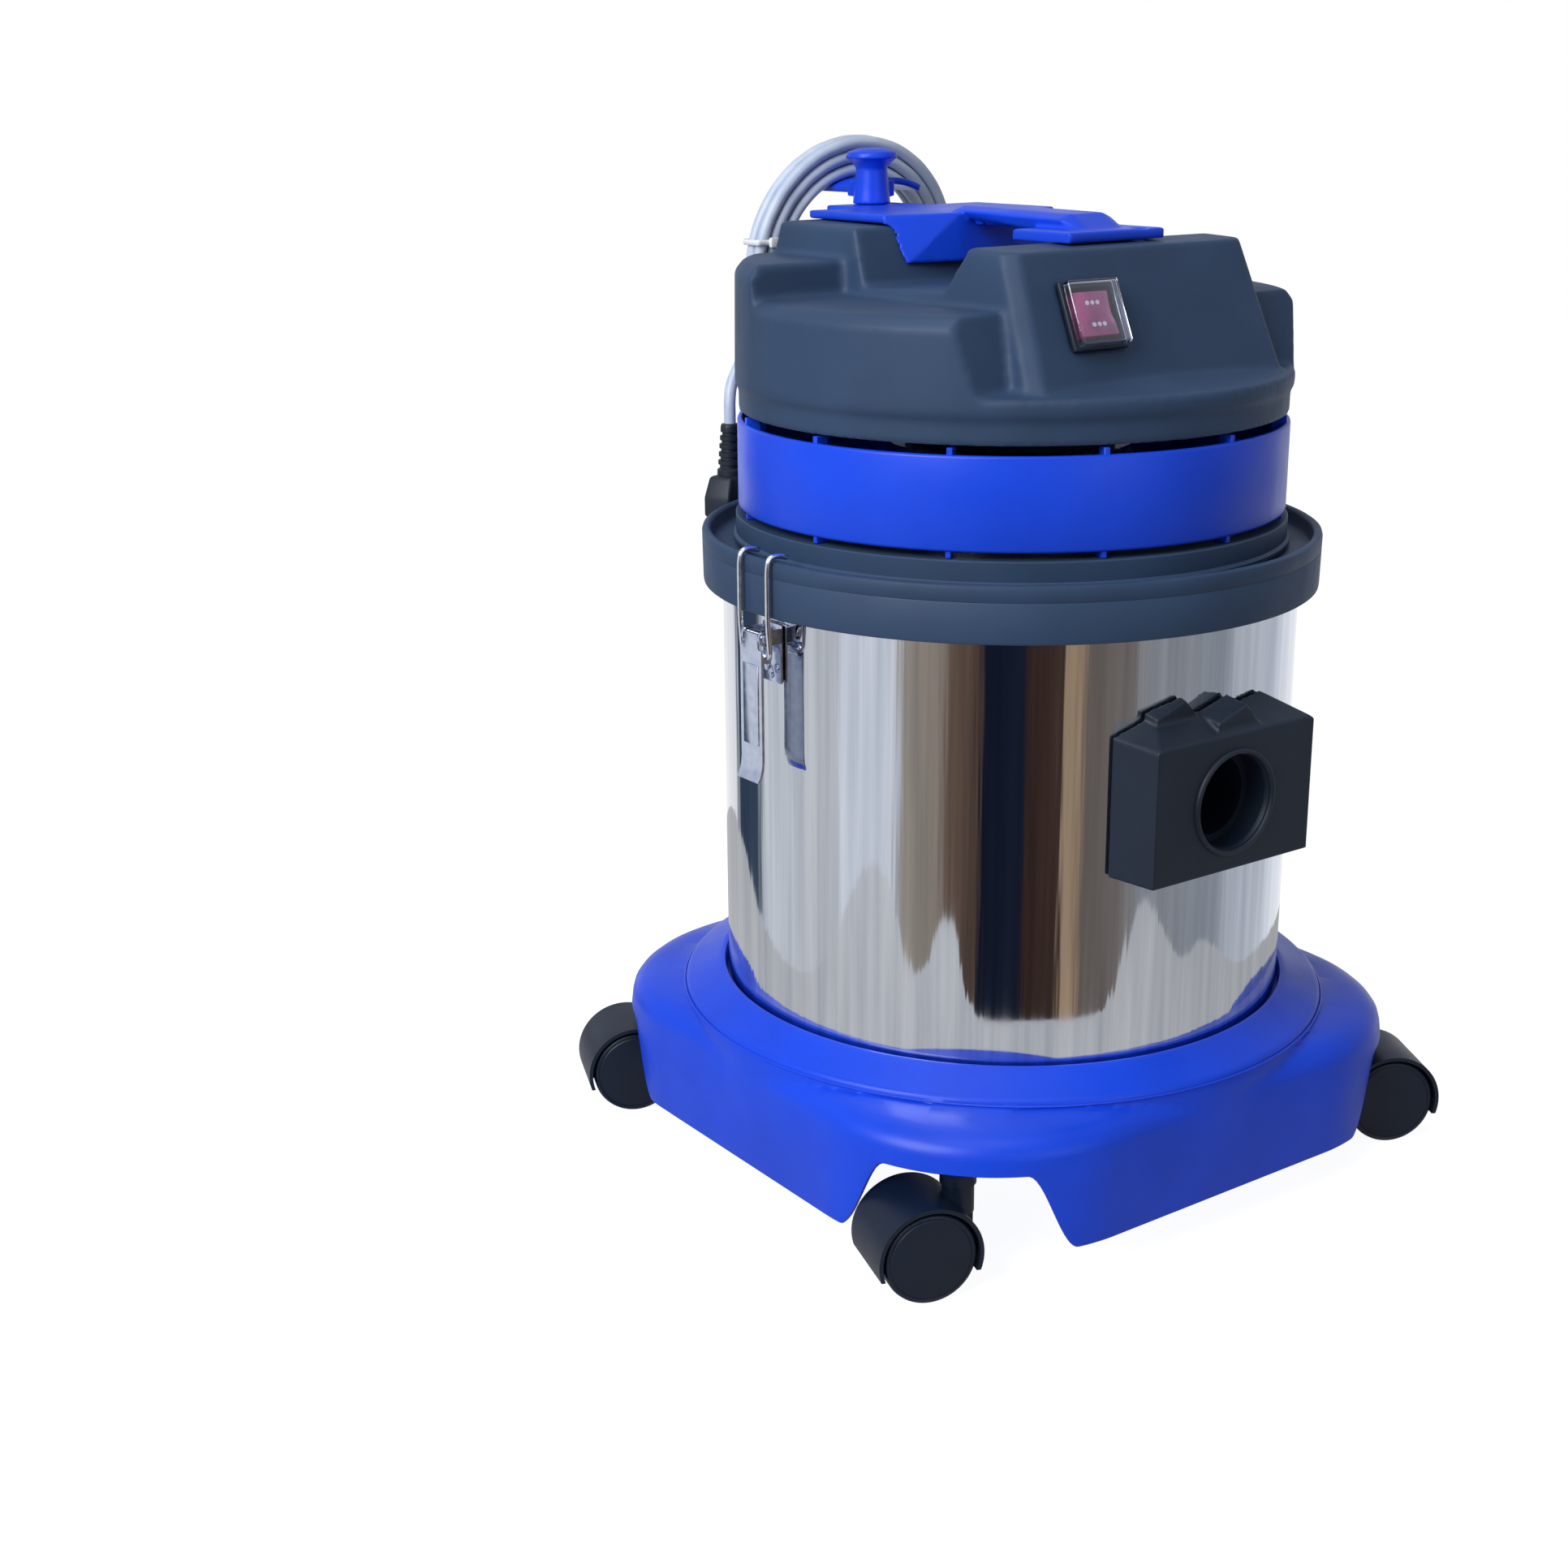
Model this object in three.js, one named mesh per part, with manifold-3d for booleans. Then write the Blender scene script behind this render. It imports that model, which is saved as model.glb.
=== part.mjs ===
// Wet and dry canister vacuum cleaner: a polished steel tank on a castered trolley base,
// closed by a motor head that two toggle latches hold down. Millimetres, +Z up, front = -Y,
// origin on the tank axis at floor level.
import * as THREE from "three";
import { ConvexGeometry } from "three/addons/geometries/ConvexGeometry.js";
import { mergeVertices } from "three/addons/utils/BufferGeometryUtils.js";
import Module from "manifold-3d";

const wasm = await Module();
wasm.setup();

// ---------- driving dimensions ----------
const GAP = 0.3; // between faces that touch on the real machine
const FIT = 0.1; // radial clearance of a pin that turns in a bore
const SEG = 32; // segments of the large round parts
const SEG_MID = 20; // segments of ports, motor and filter
const SEG_SMALL = 16; // segments of wheels
const SEG_PIN = 12;

// tank
const TANK_R = 160;
const TANK_WALL = 1.2;
const TANK_HEIGHT = 257;
const BEAD = 3.6; // rolled edge at the top of the tank

// casters
const WHEEL_R = 25;
const WHEEL_WIDTH = 17;
const CASTER_TRAIL = 22;
const HOOD_R = WHEEL_R + 3.5;
const HOOD_WEB = 8; // solid middle of the hood, between the two wheels
const STEM_R = 5;
const AXLE_R = 3;

// trolley base
const BASE_HALF = TANK_R + 28; // half of its width across the flats
const BASE_CORNER_R = 108; // plan radius of its corners
const BASE_BOTTOM_Z = 23;
const BASE_WALL = 4;
const ARCH_HALF = 62; // half width of the opening above each caster, at the floor side
const ARCH_TOP_HALF = 45;
const ARCH_TOP_Z = 2 * WHEEL_R + 17;
const BASE_SHOULDER_Z = ARCH_TOP_Z + 8; // top of the upright side wall
const STEP_R = TANK_R + 25; // the round step that carries the tank seat
const STEP_Z = BASE_SHOULDER_Z + 18;
const SEAT_INNER_R = TANK_R - 42;
const BOSS_R = STEM_R + 6; // caster socket
const STEM_TOP_Z = ARCH_TOP_Z + 7;
const CASTER_X = BASE_HALF - 41; // swivel axis from the tank axis
const CASTER_Y = BASE_HALF - 48;
const TANK_FLOOR_Z = BASE_SHOULDER_Z + 17;

// rim band, a channel clipped over the tank's top edge
const RIM_R = TANK_R + 11;
const RIM_DEPTH = 30;
const RIM_WALL = 3.2;
const GUTTER_DEPTH = 8;
const GUTTER_R = TANK_R - 14; // inner edge of the gutter floor

// head
const SKIRT_R = TANK_R - 8;
const SKIRT_HEIGHT = 14;
const BAND_R = SKIRT_R - 1.5;
const BAND_HEIGHT = 48;
const BAND_WALL = 3;
const SLOT = 3.8; // air slot above and below the blue band
const SPACERS = 12; // ribs that bridge each air slot
const COVER_R = SKIRT_R - 0.5;
const COVER_WALL = 3;
const COVER_STEP = 2; // the cover's bottom edge is drawn in by this much
const PLINTH_HALF = 84; // half width of the raised middle of the cover
const FRONT_Y = 60.5 - COVER_R; // top edge of the plinth's sloping front
const SLOPE_RUN = 27.5; // how far that front slopes back
const REAR_Y = COVER_R - 48.5; // top edge of its back
const SWITCH_X = -41;

// inlet
const INLET_Z = TANK_FLOOR_Z + TANK_HEIGHT - 107;
const INLET_HALF = 56;
const INLET_HEIGHT = 73;
const INLET_FACE_Y = -TANK_R - 20;
const PORT_R = 25.5;
const PORT_LIP = 3;
const NECK_R = PORT_R - 1 - GAP; // the neck passes the tank wall
const NECK_END_Y = -TANK_R + 22;

// latches
const LATCH_PIN_R = RIM_R + 1; // the lever pin's distance from the tank axis
const BAIL_DROP = 10; // the bail's pivot hangs this far under the lever pin
const LEVER_LENGTH = 74;
const LEVER_HALF = 9.6;
const WIRE_R = 1.4;
const BAIL_HALF = 12.5;

// motor
const MOTOR_SHELL_R = 58;
const FAN_CAN_R = 68;
const FAN_CAN_HEIGHT = 40;
const SHAFT_R = 4;

// mains cord
const CORD_R = 3.8;
const HANK_TURNS_OUT = 3; // layers of the hank, outwards
const HANK_TURNS_DEEP = 2; // layers of the hank, front to back
const HANK_BEND_R = 71; // bend radius of the outer layer's middle
const HANK_RUN = 167; // straight part of each turn
const HANK_X = 18;
const MAST_Y = REAR_Y + 23;
const HANK_TOP_Y = MAST_Y + 36;
const HANK_TILT = 0.095; // radians: the hank leans on the rim band as it hangs

// ---------- derived levels ----------
const tankTop = TANK_FLOOR_Z + TANK_HEIGHT;
const gutterFloor = tankTop + GAP + 3.6;
const rimTop = gutterFloor + GUTTER_DEPTH;
const rimBottom = rimTop - RIM_DEPTH;
const skirtBottom = gutterFloor + GAP + 1.6;
const skirtTop = skirtBottom + SKIRT_HEIGHT;
const bandBottom = skirtTop + SLOT;
const bandTop = bandBottom + BAND_HEIGHT;
const coverBottom = bandTop + SLOT;
const HANK_TOP_Z = coverBottom + 140.6;
const LATCH_PIN_Z = rimTop - 40.9;

// ---------- colours ----------
const finish = {
  blue: { color: 0x2447d8, roughness: 0.35, metalness: 0 },
  slate: { color: 0x2b3c52, roughness: 0.55, metalness: 0 },
  black: { color: 0x101823, roughness: 0.5, metalness: 0 },
  steel: { color: 0xc9ccd0, roughness: 0.12, metalness: 1 },
  zinc: { color: 0xb9c0d6, roughness: 0.3, metalness: 1 },
  grey: { color: 0x9ba7bd, roughness: 0.45, metalness: 0 },
  copper: { color: 0xb4683a, roughness: 0.4, metalness: 1 },
  rubber: { color: 0x1a1a1c, roughness: 0.9, metalness: 0 },
  cloth: { color: 0xd9d4c6, roughness: 0.95, metalness: 0 },
  white: { color: 0xe9ebee, roughness: 0.5, metalness: 0 },
  clear: { color: 0xbcd0ef, roughness: 0.1, metalness: 0, transparent: true, opacity: 0.45 },
  red: { color: 0x8d2b52, roughness: 0.3, metalness: 0 },
};

const machine = new THREE.Group();

function place(name, geometry, look, parent = machine) {
  const mesh = new THREE.Mesh(geometry, new THREE.MeshStandardMaterial(finish[look]));
  mesh.name = name;
  parent.add(mesh);
  return mesh;
}

// ---------- solids ----------
function solid(geometry) {
  const bare = geometry.clone();
  bare.deleteAttribute("normal");
  bare.deleteAttribute("uv");
  const merged = mergeVertices(bare, 1e-4);
  return new wasm.Manifold(
    new wasm.Mesh({
      numProp: 3,
      vertProperties: new Float32Array(merged.attributes.position.array),
      triVerts: new Uint32Array(merged.index.array),
    }),
  );
}

function geometryOf(manifold) {
  const mesh = manifold.getMesh();
  const geometry = new THREE.BufferGeometry();
  const points = new Float32Array(mesh.numVert * 3);
  for (let i = 0; i < mesh.numVert; i++) {
    points.set(mesh.vertProperties.subarray(i * mesh.numProp, i * mesh.numProp + 3), i * 3);
  }
  geometry.setAttribute("position", new THREE.BufferAttribute(points, 3));
  geometry.setIndex(new THREE.BufferAttribute(new Uint32Array(mesh.triVerts), 1));
  geometry.computeVertexNormals();
  return geometry;
}

const join = (...parts) => parts.map(solid).reduce((a, b) => a.add(b));
const cutOut = (from, ...tools) => tools.map(solid).reduce((a, b) => a.subtract(b), from);

// A closed profile of [radius, z] pairs turned round the Z axis, outer side listed upwards.
function turned(profile, segments = SEG, at = [0, 0, 0]) {
  const points = profile.map(([r, z]) => new THREE.Vector2(r, z));
  if (profile[0][0] > 0) points.push(points[0].clone());
  const geometry = new THREE.LatheGeometry(points, segments);
  geometry.rotateX(Math.PI / 2);
  return geometry.translate(...at);
}

function block(x0, x1, y0, y1, z0, z1) {
  const geometry = new THREE.BoxGeometry(x1 - x0, y1 - y0, z1 - z0);
  return geometry.translate((x0 + x1) / 2, (y0 + y1) / 2, (z0 + z1) / 2);
}

// A cylinder whose axis runs along "x", "y" or "z".
function rod(axis, radius, from, to, at, segments = SEG_SMALL) {
  const geometry = new THREE.CylinderGeometry(radius, radius, to - from, segments);
  geometry.translate(0, (from + to) / 2, 0);
  if (axis === "x") geometry.rotateZ(-Math.PI / 2);
  if (axis === "z") geometry.rotateX(Math.PI / 2);
  return geometry.translate(...at);
}

// An outline in the YZ plane pushed along X.
function sideCut(outline, x0, x1) {
  const shape = new THREE.Shape(outline.map(([y, z]) => new THREE.Vector2(y, z)));
  const geometry = new THREE.ExtrudeGeometry(shape, { depth: x1 - x0, bevelEnabled: false });
  geometry.applyMatrix4(new THREE.Matrix4().set(0, 0, 1, x0, 1, 0, 0, 0, 0, 1, 0, 0, 0, 0, 0, 1));
  return geometry;
}

// An outline in the XZ plane pushed along Y.
function frontCut(outline, y0, y1) {
  const shape = new THREE.Shape(outline.map(([x, z]) => new THREE.Vector2(x, z)));
  const geometry = new THREE.ExtrudeGeometry(shape, { depth: y1 - y0, bevelEnabled: false });
  geometry.applyMatrix4(new THREE.Matrix4().set(1, 0, 0, 0, 0, 0, -1, y1, 0, 1, 0, 0, 0, 0, 0, 1));
  return geometry;
}

const hull = (points) => new ConvexGeometry(points.map((p) => new THREE.Vector3(...p)));

// Rings of equal length, each a list of [x, y, z], joined into a closed tube of rings.
function ringLoft(rings) {
  const count = rings[0].length;
  const points = rings.flat(2);
  const faces = [];
  rings.forEach((_, i) => {
    const next = ((i + 1) % rings.length) * count;
    for (let j = 0; j < count; j++) {
      const k = (j + 1) % count;
      faces.push(i * count + j, i * count + k, next + k, i * count + j, next + k, next + j);
    }
  });
  const geometry = new THREE.BufferGeometry();
  geometry.setAttribute("position", new THREE.Float32BufferAttribute(points, 3));
  geometry.setIndex(faces);
  return geometry;
}

// ---------- trolley base ----------
// A square with round corners, or a circle, at one level: both are sampled at the same angles.
function roundedRing(half, cornerR, z) {
  const ring = [];
  const core = half - cornerR;
  for (let i = 0; i < SEG; i++) {
    const a = ((i + 0.5) / SEG) * 2 * Math.PI;
    const c = Math.cos(a);
    const s = Math.sin(a);
    const side = half / Math.max(Math.abs(c), Math.abs(s));
    const along = core * (Math.abs(c) + Math.abs(s));
    const corner = along + Math.sqrt(Math.max(along * along - 2 * core * core + cornerR * cornerR, 0));
    const onFlat = side * Math.min(Math.abs(c), Math.abs(s)) <= core;
    const r = onFlat ? side : corner;
    ring.push([r * c, r * s, z]);
  }
  return ring;
}
const circleRing = (radius, z) => roundedRing(radius, radius, z);

// Each direction's larger radius of two rings at one level.
const widerOf = (a, b) => a.map((p, i) => (Math.hypot(p[0], p[1]) > Math.hypot(b[i][0], b[i][1]) ? p : b[i]));

function trolleyBase() {
  const wellR = TANK_R + 2;
  const seatZ = TANK_FLOOR_Z - GAP;
  const lipZ = seatZ + 11.5;
  const upper = (inset, round, radius, z) =>
    widerOf(roundedRing(BASE_HALF - inset, BASE_CORNER_R - round, z), circleRing(radius, z));
  const skin = ringLoft([
    roundedRing(BASE_HALF - BASE_WALL, BASE_CORNER_R - BASE_WALL, BASE_BOTTOM_Z),
    roundedRing(BASE_HALF, BASE_CORNER_R, BASE_BOTTOM_Z),
    roundedRing(BASE_HALF - 1, BASE_CORNER_R - 1, BASE_SHOULDER_Z),
    upper(4, 3, STEP_R + 1.7, BASE_SHOULDER_Z + 7),
    upper(12, 8, STEP_R + 1.4, BASE_SHOULDER_Z + 12),
    circleRing(STEP_R, STEP_Z),
    circleRing(wellR + 1.5, lipZ + 0.5),
    circleRing(wellR, lipZ - 1),
    circleRing(wellR, seatZ),
    circleRing(SEAT_INNER_R, seatZ),
    circleRing(SEAT_INNER_R, seatZ - BASE_WALL),
    circleRing(wellR + 3, seatZ - BASE_WALL),
    circleRing(wellR + 4, lipZ - 8),
    circleRing(STEP_R - 4, STEP_Z - 4.6),
    upper(15, 10, STEP_R - 2.6, BASE_SHOULDER_Z + 8),
    upper(8, 7, STEP_R - 2.4, BASE_SHOULDER_Z + 3),
    roundedRing(BASE_HALF - BASE_WALL - 1, BASE_CORNER_R - BASE_WALL - 1, BASE_SHOULDER_Z - 3),
  ]);
  let base = solid(skin);
  for (const [x, y] of [
    [-1, -1],
    [1, -1],
    [1, 1],
    [-1, 1],
  ]) {
    const archSide = [
      [ARCH_HALF + 1, BASE_BOTTOM_Z - 1],
      [ARCH_HALF - 3, BASE_BOTTOM_Z + 3],
      [ARCH_TOP_HALF + 6, ARCH_TOP_Z - 14],
      [ARCH_TOP_HALF + 2, ARCH_TOP_Z - 6],
      [ARCH_TOP_HALF - 5, ARCH_TOP_Z - 1.5],
      [ARCH_TOP_HALF - 13, ARCH_TOP_Z],
    ];
    const mirrored = archSide.map(([along, z]) => [-along, z]).reverse();
    const arch = frontCut([...archSide, ...mirrored], STEP_R - 13, BASE_HALF + 72);
    arch.rotateZ(Math.atan2(y * CASTER_Y, x * CASTER_X) - Math.PI / 2);
    base = base.subtract(solid(arch));
    // the socket hangs from the shell's underside and takes the caster's stem
    const at = [x * CASTER_X, y * CASTER_Y, 0];
    base = base.add(solid(rod("z", BOSS_R, ARCH_TOP_Z - 4, BASE_SHOULDER_Z + 6, at)));
    base = base.subtract(solid(rod("z", STEM_R + FIT, ARCH_TOP_Z - 5, STEM_TOP_Z + GAP, at, 24)));
  }
  return geometryOf(base);
}

// ---------- casters ----------
function hoodGeometry() {
  // local frame: swivel axis = Z axis, axle along Y, the wheel trails along +X
  const half = HOOD_WEB / 2 + GAP * 2 + WHEEL_WIDTH;
  const centre = [CASTER_TRAIL, 0, WHEEL_R];
  const arc = [];
  const first = -0.3;
  const last = Math.PI + 0.35;
  const steps = 10;
  for (let i = 0; i <= steps; i++) {
    const a = first + ((last - first) * i) / steps;
    arc.push([centre[0] + Math.cos(a) * HOOD_R, centre[2] + Math.sin(a) * HOOD_R]);
  }
  const fender = frontCut(arc, -half, half);
  const neck = rod("z", STEM_R + 3.5, WHEEL_R + 12, ARCH_TOP_Z - 4 - GAP, [0, 0, 0], SEG_PIN);
  const tie = block(-6, CASTER_TRAIL, -HOOD_WEB / 2, HOOD_WEB / 2, WHEEL_R + 8, WHEEL_R + 24);
  const wheelRoom = (from, to) => rod("y", WHEEL_R + 1.2, from, to, centre, SEG_SMALL);
  const whole = cutOut(
    join(fender, neck, tie),
    wheelRoom(HOOD_WEB / 2, half + 1),
    wheelRoom(-half - 1, -HOOD_WEB / 2),
    rod("y", AXLE_R + FIT, -HOOD_WEB, HOOD_WEB, centre, SEG_PIN),
    rod("z", STEM_R - 1 + FIT, WHEEL_R + 22, ARCH_TOP_Z + 2, [0, 0, 0], SEG_PIN),
  );
  return geometryOf(whole);
}

function wheelGeometry(side) {
  const near = HOOD_WEB / 2 + GAP;
  const far = near + WHEEL_WIDTH;
  const wheel = turned(
    [
      [0, near],
      [WHEEL_R - 0.8, near],
      [WHEEL_R, near + 0.8],
      [WHEEL_R, far - 1.5],
      [WHEEL_R - 1.5, far],
      [0, far],
    ],
    SEG_SMALL,
  );
  const whole = cutOut(solid(wheel), rod("z", AXLE_R, near - 1, near + 9 + GAP, [0, 0, 0], SEG_PIN));
  const geometry = geometryOf(whole);
  geometry.rotateX(side > 0 ? -Math.PI / 2 : Math.PI / 2);
  return geometry.translate(CASTER_TRAIL, 0, WHEEL_R);
}

const casters = [
  { name: "front_left", x: -1, y: -1, heading: 162 },
  { name: "front_right", x: 1, y: -1, heading: -28 },
  { name: "rear_right", x: 1, y: 1, heading: -18 },
  { name: "rear_left", x: -1, y: 1, heading: 158 },
];

function addCasters() {
  const hood = hoodGeometry();
  const left = wheelGeometry(1);
  const right = wheelGeometry(-1);
  const axleReach = HOOD_WEB / 2 + GAP + 9;
  const axle = rod("y", AXLE_R - FIT / 2, -axleReach, axleReach, [CASTER_TRAIL, 0, WHEEL_R], SEG_PIN);
  const stem = geometryOf(
    join(
      rod("z", STEM_R, ARCH_TOP_Z - 1, STEM_TOP_Z, [0, 0, 0], 24),
      rod("z", STEM_R - 1, WHEEL_R + 22 + GAP, ARCH_TOP_Z, [0, 0, 0], SEG_PIN),
    ),
  );
  for (const caster of casters) {
    const unit = new THREE.Group();
    unit.position.set(caster.x * CASTER_X, caster.y * CASTER_Y, 0);
    unit.rotation.z = THREE.MathUtils.degToRad(caster.heading);
    place(`caster_${caster.name}_hood`, hood, "black", unit);
    place(`caster_${caster.name}_stem`, stem, "zinc", unit);
    place(`caster_${caster.name}_axle`, axle, "zinc", unit);
    place(`caster_${caster.name}_wheel_a`, left, "black", unit);
    place(`caster_${caster.name}_wheel_b`, right, "black", unit);
    machine.add(unit);
  }
}

// ---------- tank and rim band ----------
function tankGeometry() {
  const inner = TANK_R - TANK_WALL;
  const shell = turned([
    [0, TANK_FLOOR_Z],
    [TANK_R - 8, TANK_FLOOR_Z],
    [TANK_R - 2.5, TANK_FLOOR_Z + 2.5],
    [TANK_R, TANK_FLOOR_Z + 8],
    [TANK_R, tankTop - BEAD],
    [TANK_R + BEAD, tankTop - BEAD],
    [TANK_R + BEAD, tankTop],
    [inner, tankTop],
    [inner, TANK_FLOOR_Z + 8],
    [inner - 2.5, TANK_FLOOR_Z + 3.5],
    [inner - 8, TANK_FLOOR_Z + TANK_WALL],
    [0, TANK_FLOOR_Z + TANK_WALL],
  ]);
  return geometryOf(cutOut(solid(shell), rod("y", PORT_R - 1, INLET_FACE_Y - 20, 60 - TANK_R, [0, 0, INLET_Z], SEG_MID)));
}

function rimBand() {
  const webTop = gutterFloor;
  const webBottom = tankTop + GAP;
  const apronIn = RIM_R - RIM_WALL;
  return turned([
    [apronIn, rimBottom],
    [RIM_R - 1, rimBottom],
    [RIM_R, rimBottom + 1],
    [RIM_R, rimTop - 1.5],
    [RIM_R - 1.5, rimTop],
    [apronIn - 0.5, rimTop],
    [apronIn - 2, rimTop - 1.5],
    [apronIn - 2.5, webTop],
    [GUTTER_R, webTop],
    [GUTTER_R, webBottom - 6],
    [GUTTER_R + 3, webBottom - 6],
    [GUTTER_R + 3, webBottom],
    [apronIn, webBottom],
  ]);
}

// ---------- inlet ----------
function inletHousing() {
  const low = INLET_Z - INLET_HEIGHT / 2;
  const high = INLET_Z + INLET_HEIGHT / 2;
  const back = 20 - TANK_R;
  const points = [];
  for (const side of [-1, 1]) {
    const x = side * INLET_HALF;
    points.push([side * (INLET_HALF - 3), INLET_FACE_Y, low], [x, INLET_FACE_Y, low + 3]);
    points.push([x, INLET_FACE_Y, high - 5], [side * (INLET_HALF - 5), INLET_FACE_Y, high]);
    points.push([x + side * 5, back, low + 3], [side * (INLET_HALF + 2), back, low]);
    points.push([x + side * 5, back, high + 2], [side * (INLET_HALF - 27), back - 6, high + 18]);
  }
  const tab = (x, y, z) =>
    hull([
      [x - 15, y - 9, z - 6],
      [x + 15, y - 9, z - 6],
      [x - 15, y + 9, z - 6],
      [x + 15, y + 9, z - 6],
      [x - 15, y - 9, z - 2],
      [x - 15, y + 9, z + 2],
      [x + 5, y - 9, z + 5],
      [x + 5, y + 9, z + 8],
    ]);
  const body = join(
    hull(points),
    tab(-28, 4 - TANK_R, high + 13),
    tab(4, -TANK_R - 8, high + 8),
    rod("y", PORT_R + PORT_LIP, 0, 3, [0, INLET_FACE_Y - 1.4, INLET_Z], SEG_MID),
  );
  const wallRoom = turned([
    [0, low - 40],
    [TANK_R + GAP, low - 40],
    [TANK_R + GAP, high + 40],
    [0, high + 40],
  ]);
  // a socket for the hose cuff, which stops against a shoulder, then the neck into the tank
  const socket = rod("y", PORT_R, INLET_FACE_Y - 20, -TANK_R - 4, [0, 0, INLET_Z], SEG_MID);
  const bore = rod("y", PORT_R - 4, INLET_FACE_Y - 20, 60 - TANK_R, [0, 0, INLET_Z], SEG_MID);
  const neck = rod("y", NECK_R, -TANK_R - 3, NECK_END_Y, [0, 0, INLET_Z], SEG_MID);
  const shaped = cutOut(body, wallRoom).add(solid(neck));
  return geometryOf(cutOut(shaped, socket, bore));
}

// The elbow behind the port turns the incoming stream down and along the tank wall.
function inletElbow() {
  const start = -TANK_R + 5;
  const end = 48 - TANK_R;
  const inside = NECK_R + 0.2;
  const outer = join(
    rod("y", inside + 2.5, start, end, [0, 0, INLET_Z], SEG_MID),
    block(-inside, inside, 30 - TANK_R, end, INLET_Z - 46, INLET_Z),
  );
  const hollow = join(
    rod("y", inside, start - 1, end - 3, [0, 0, INLET_Z], SEG_MID),
    block(3 - inside, inside - 3, 33 - TANK_R, end - 3, INLET_Z - 50, INLET_Z),
  );
  return geometryOf(outer.subtract(hollow));
}

// ---------- latches ----------
// Local frame: X points away from the tank axis and Y along the rim.
function latchBracket() {
  const seat = TANK_R + GAP;
  const earHalf = LEVER_HALF - 3;
  const ear = (y0) =>
    join(
      block(seat + 0.5, LATCH_PIN_R, y0, y0 + 1.5, LATCH_PIN_Z - 4, LATCH_PIN_Z + 4),
      rod("y", 4, y0, y0 + 1.5, [LATCH_PIN_R, 0, LATCH_PIN_Z], SEG_PIN),
    );
  const plate = block(seat + 0.4, seat + 2, -earHalf - 1.5, earHalf + 1.5, LATCH_PIN_Z - 26, LATCH_PIN_Z + 6);
  let whole = solid(plate).add(ear(-earHalf - 1.5)).add(ear(earHalf));
  whole = whole.subtract(solid(rod("y", 1.5, -20, 20, [LATCH_PIN_R, 0, LATCH_PIN_Z], SEG_PIN)));
  return geometryOf(whole);
}

const latchPin = () =>
  rod("y", 1.5 - FIT, -LEVER_HALF + 1.2, LEVER_HALF - 1.2, [LATCH_PIN_R, 0, LATCH_PIN_Z], SEG_PIN);

function latchLever() {
  const face = LATCH_PIN_R + 2.2;
  const neckHalf = LEVER_HALF - 3 - GAP * 2;
  const foot = LATCH_PIN_Z - 4 - LEVER_LENGTH;
  const wide = sideCutXZ(
    [
      [face, foot + 6],
      [face + 3, foot],
      [face + 4.4, foot + 0.6],
      [face + 1.5, foot + 6.4],
      [face + 1.5, LATCH_PIN_Z - 6],
      [face, LATCH_PIN_Z - 6],
    ],
    LEVER_HALF,
  );
  const neck = block(face, face + 1.5, -neckHalf, neckHalf, LATCH_PIN_Z - 7, LATCH_PIN_Z + 3);
  const pinEye = rod("y", 3.2, -neckHalf, neckHalf, [LATCH_PIN_R, 0, LATCH_PIN_Z], SEG_PIN);
  const bailEye = rod("y", 3.2, -LEVER_HALF, LEVER_HALF, [LATCH_PIN_R, 0, LATCH_PIN_Z - BAIL_DROP], SEG_PIN);
  const whole = cutOut(
    join(wide, neck, pinEye, bailEye),
    rod("y", 1.5, -20, 20, [LATCH_PIN_R, 0, LATCH_PIN_Z], SEG_PIN),
    rod("y", WIRE_R + FIT, -20, 20, [LATCH_PIN_R, 0, LATCH_PIN_Z - BAIL_DROP], SEG_PIN),
  );
  return geometryOf(whole);
}

// An outline in the XZ plane, as thick as the lever is wide.
function sideCutXZ(outline, half) {
  return frontCut(outline, -half, half);
}

// The bail is one wire: two legs that hook over the rim band, joined by the bar through the lever.
function latchBail() {
  const low = LATCH_PIN_Z - BAIL_DROP;
  const legX = RIM_R + WIRE_R + 1;
  const top = rimTop + WIRE_R + 1.2;
  const bend = 6.5;
  const corner = 2.2;
  const v = (x, y, z) => new THREE.Vector3(x, y, z);
  const leg = (side) => {
    const y = side * BAIL_HALF;
    const points = [v(LATCH_PIN_R, side * (BAIL_HALF - corner), low)];
    points.push(v(LATCH_PIN_R + 0.3, y, low + corner));
    points.push(v(legX, y, top - bend));
    for (let i = 1; i <= 4; i++) {
      const a = (i / 4) * (Math.PI / 2);
      points.push(v(legX - bend + bend * Math.cos(a), y, top - bend + bend * Math.sin(a)));
    }
    points.push(v(legX - bend - 6, y, top - 0.4));
    return points;
  };
  return wireAlong([...leg(-1).reverse(), ...leg(1)], WIRE_R, 8);
}

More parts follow.
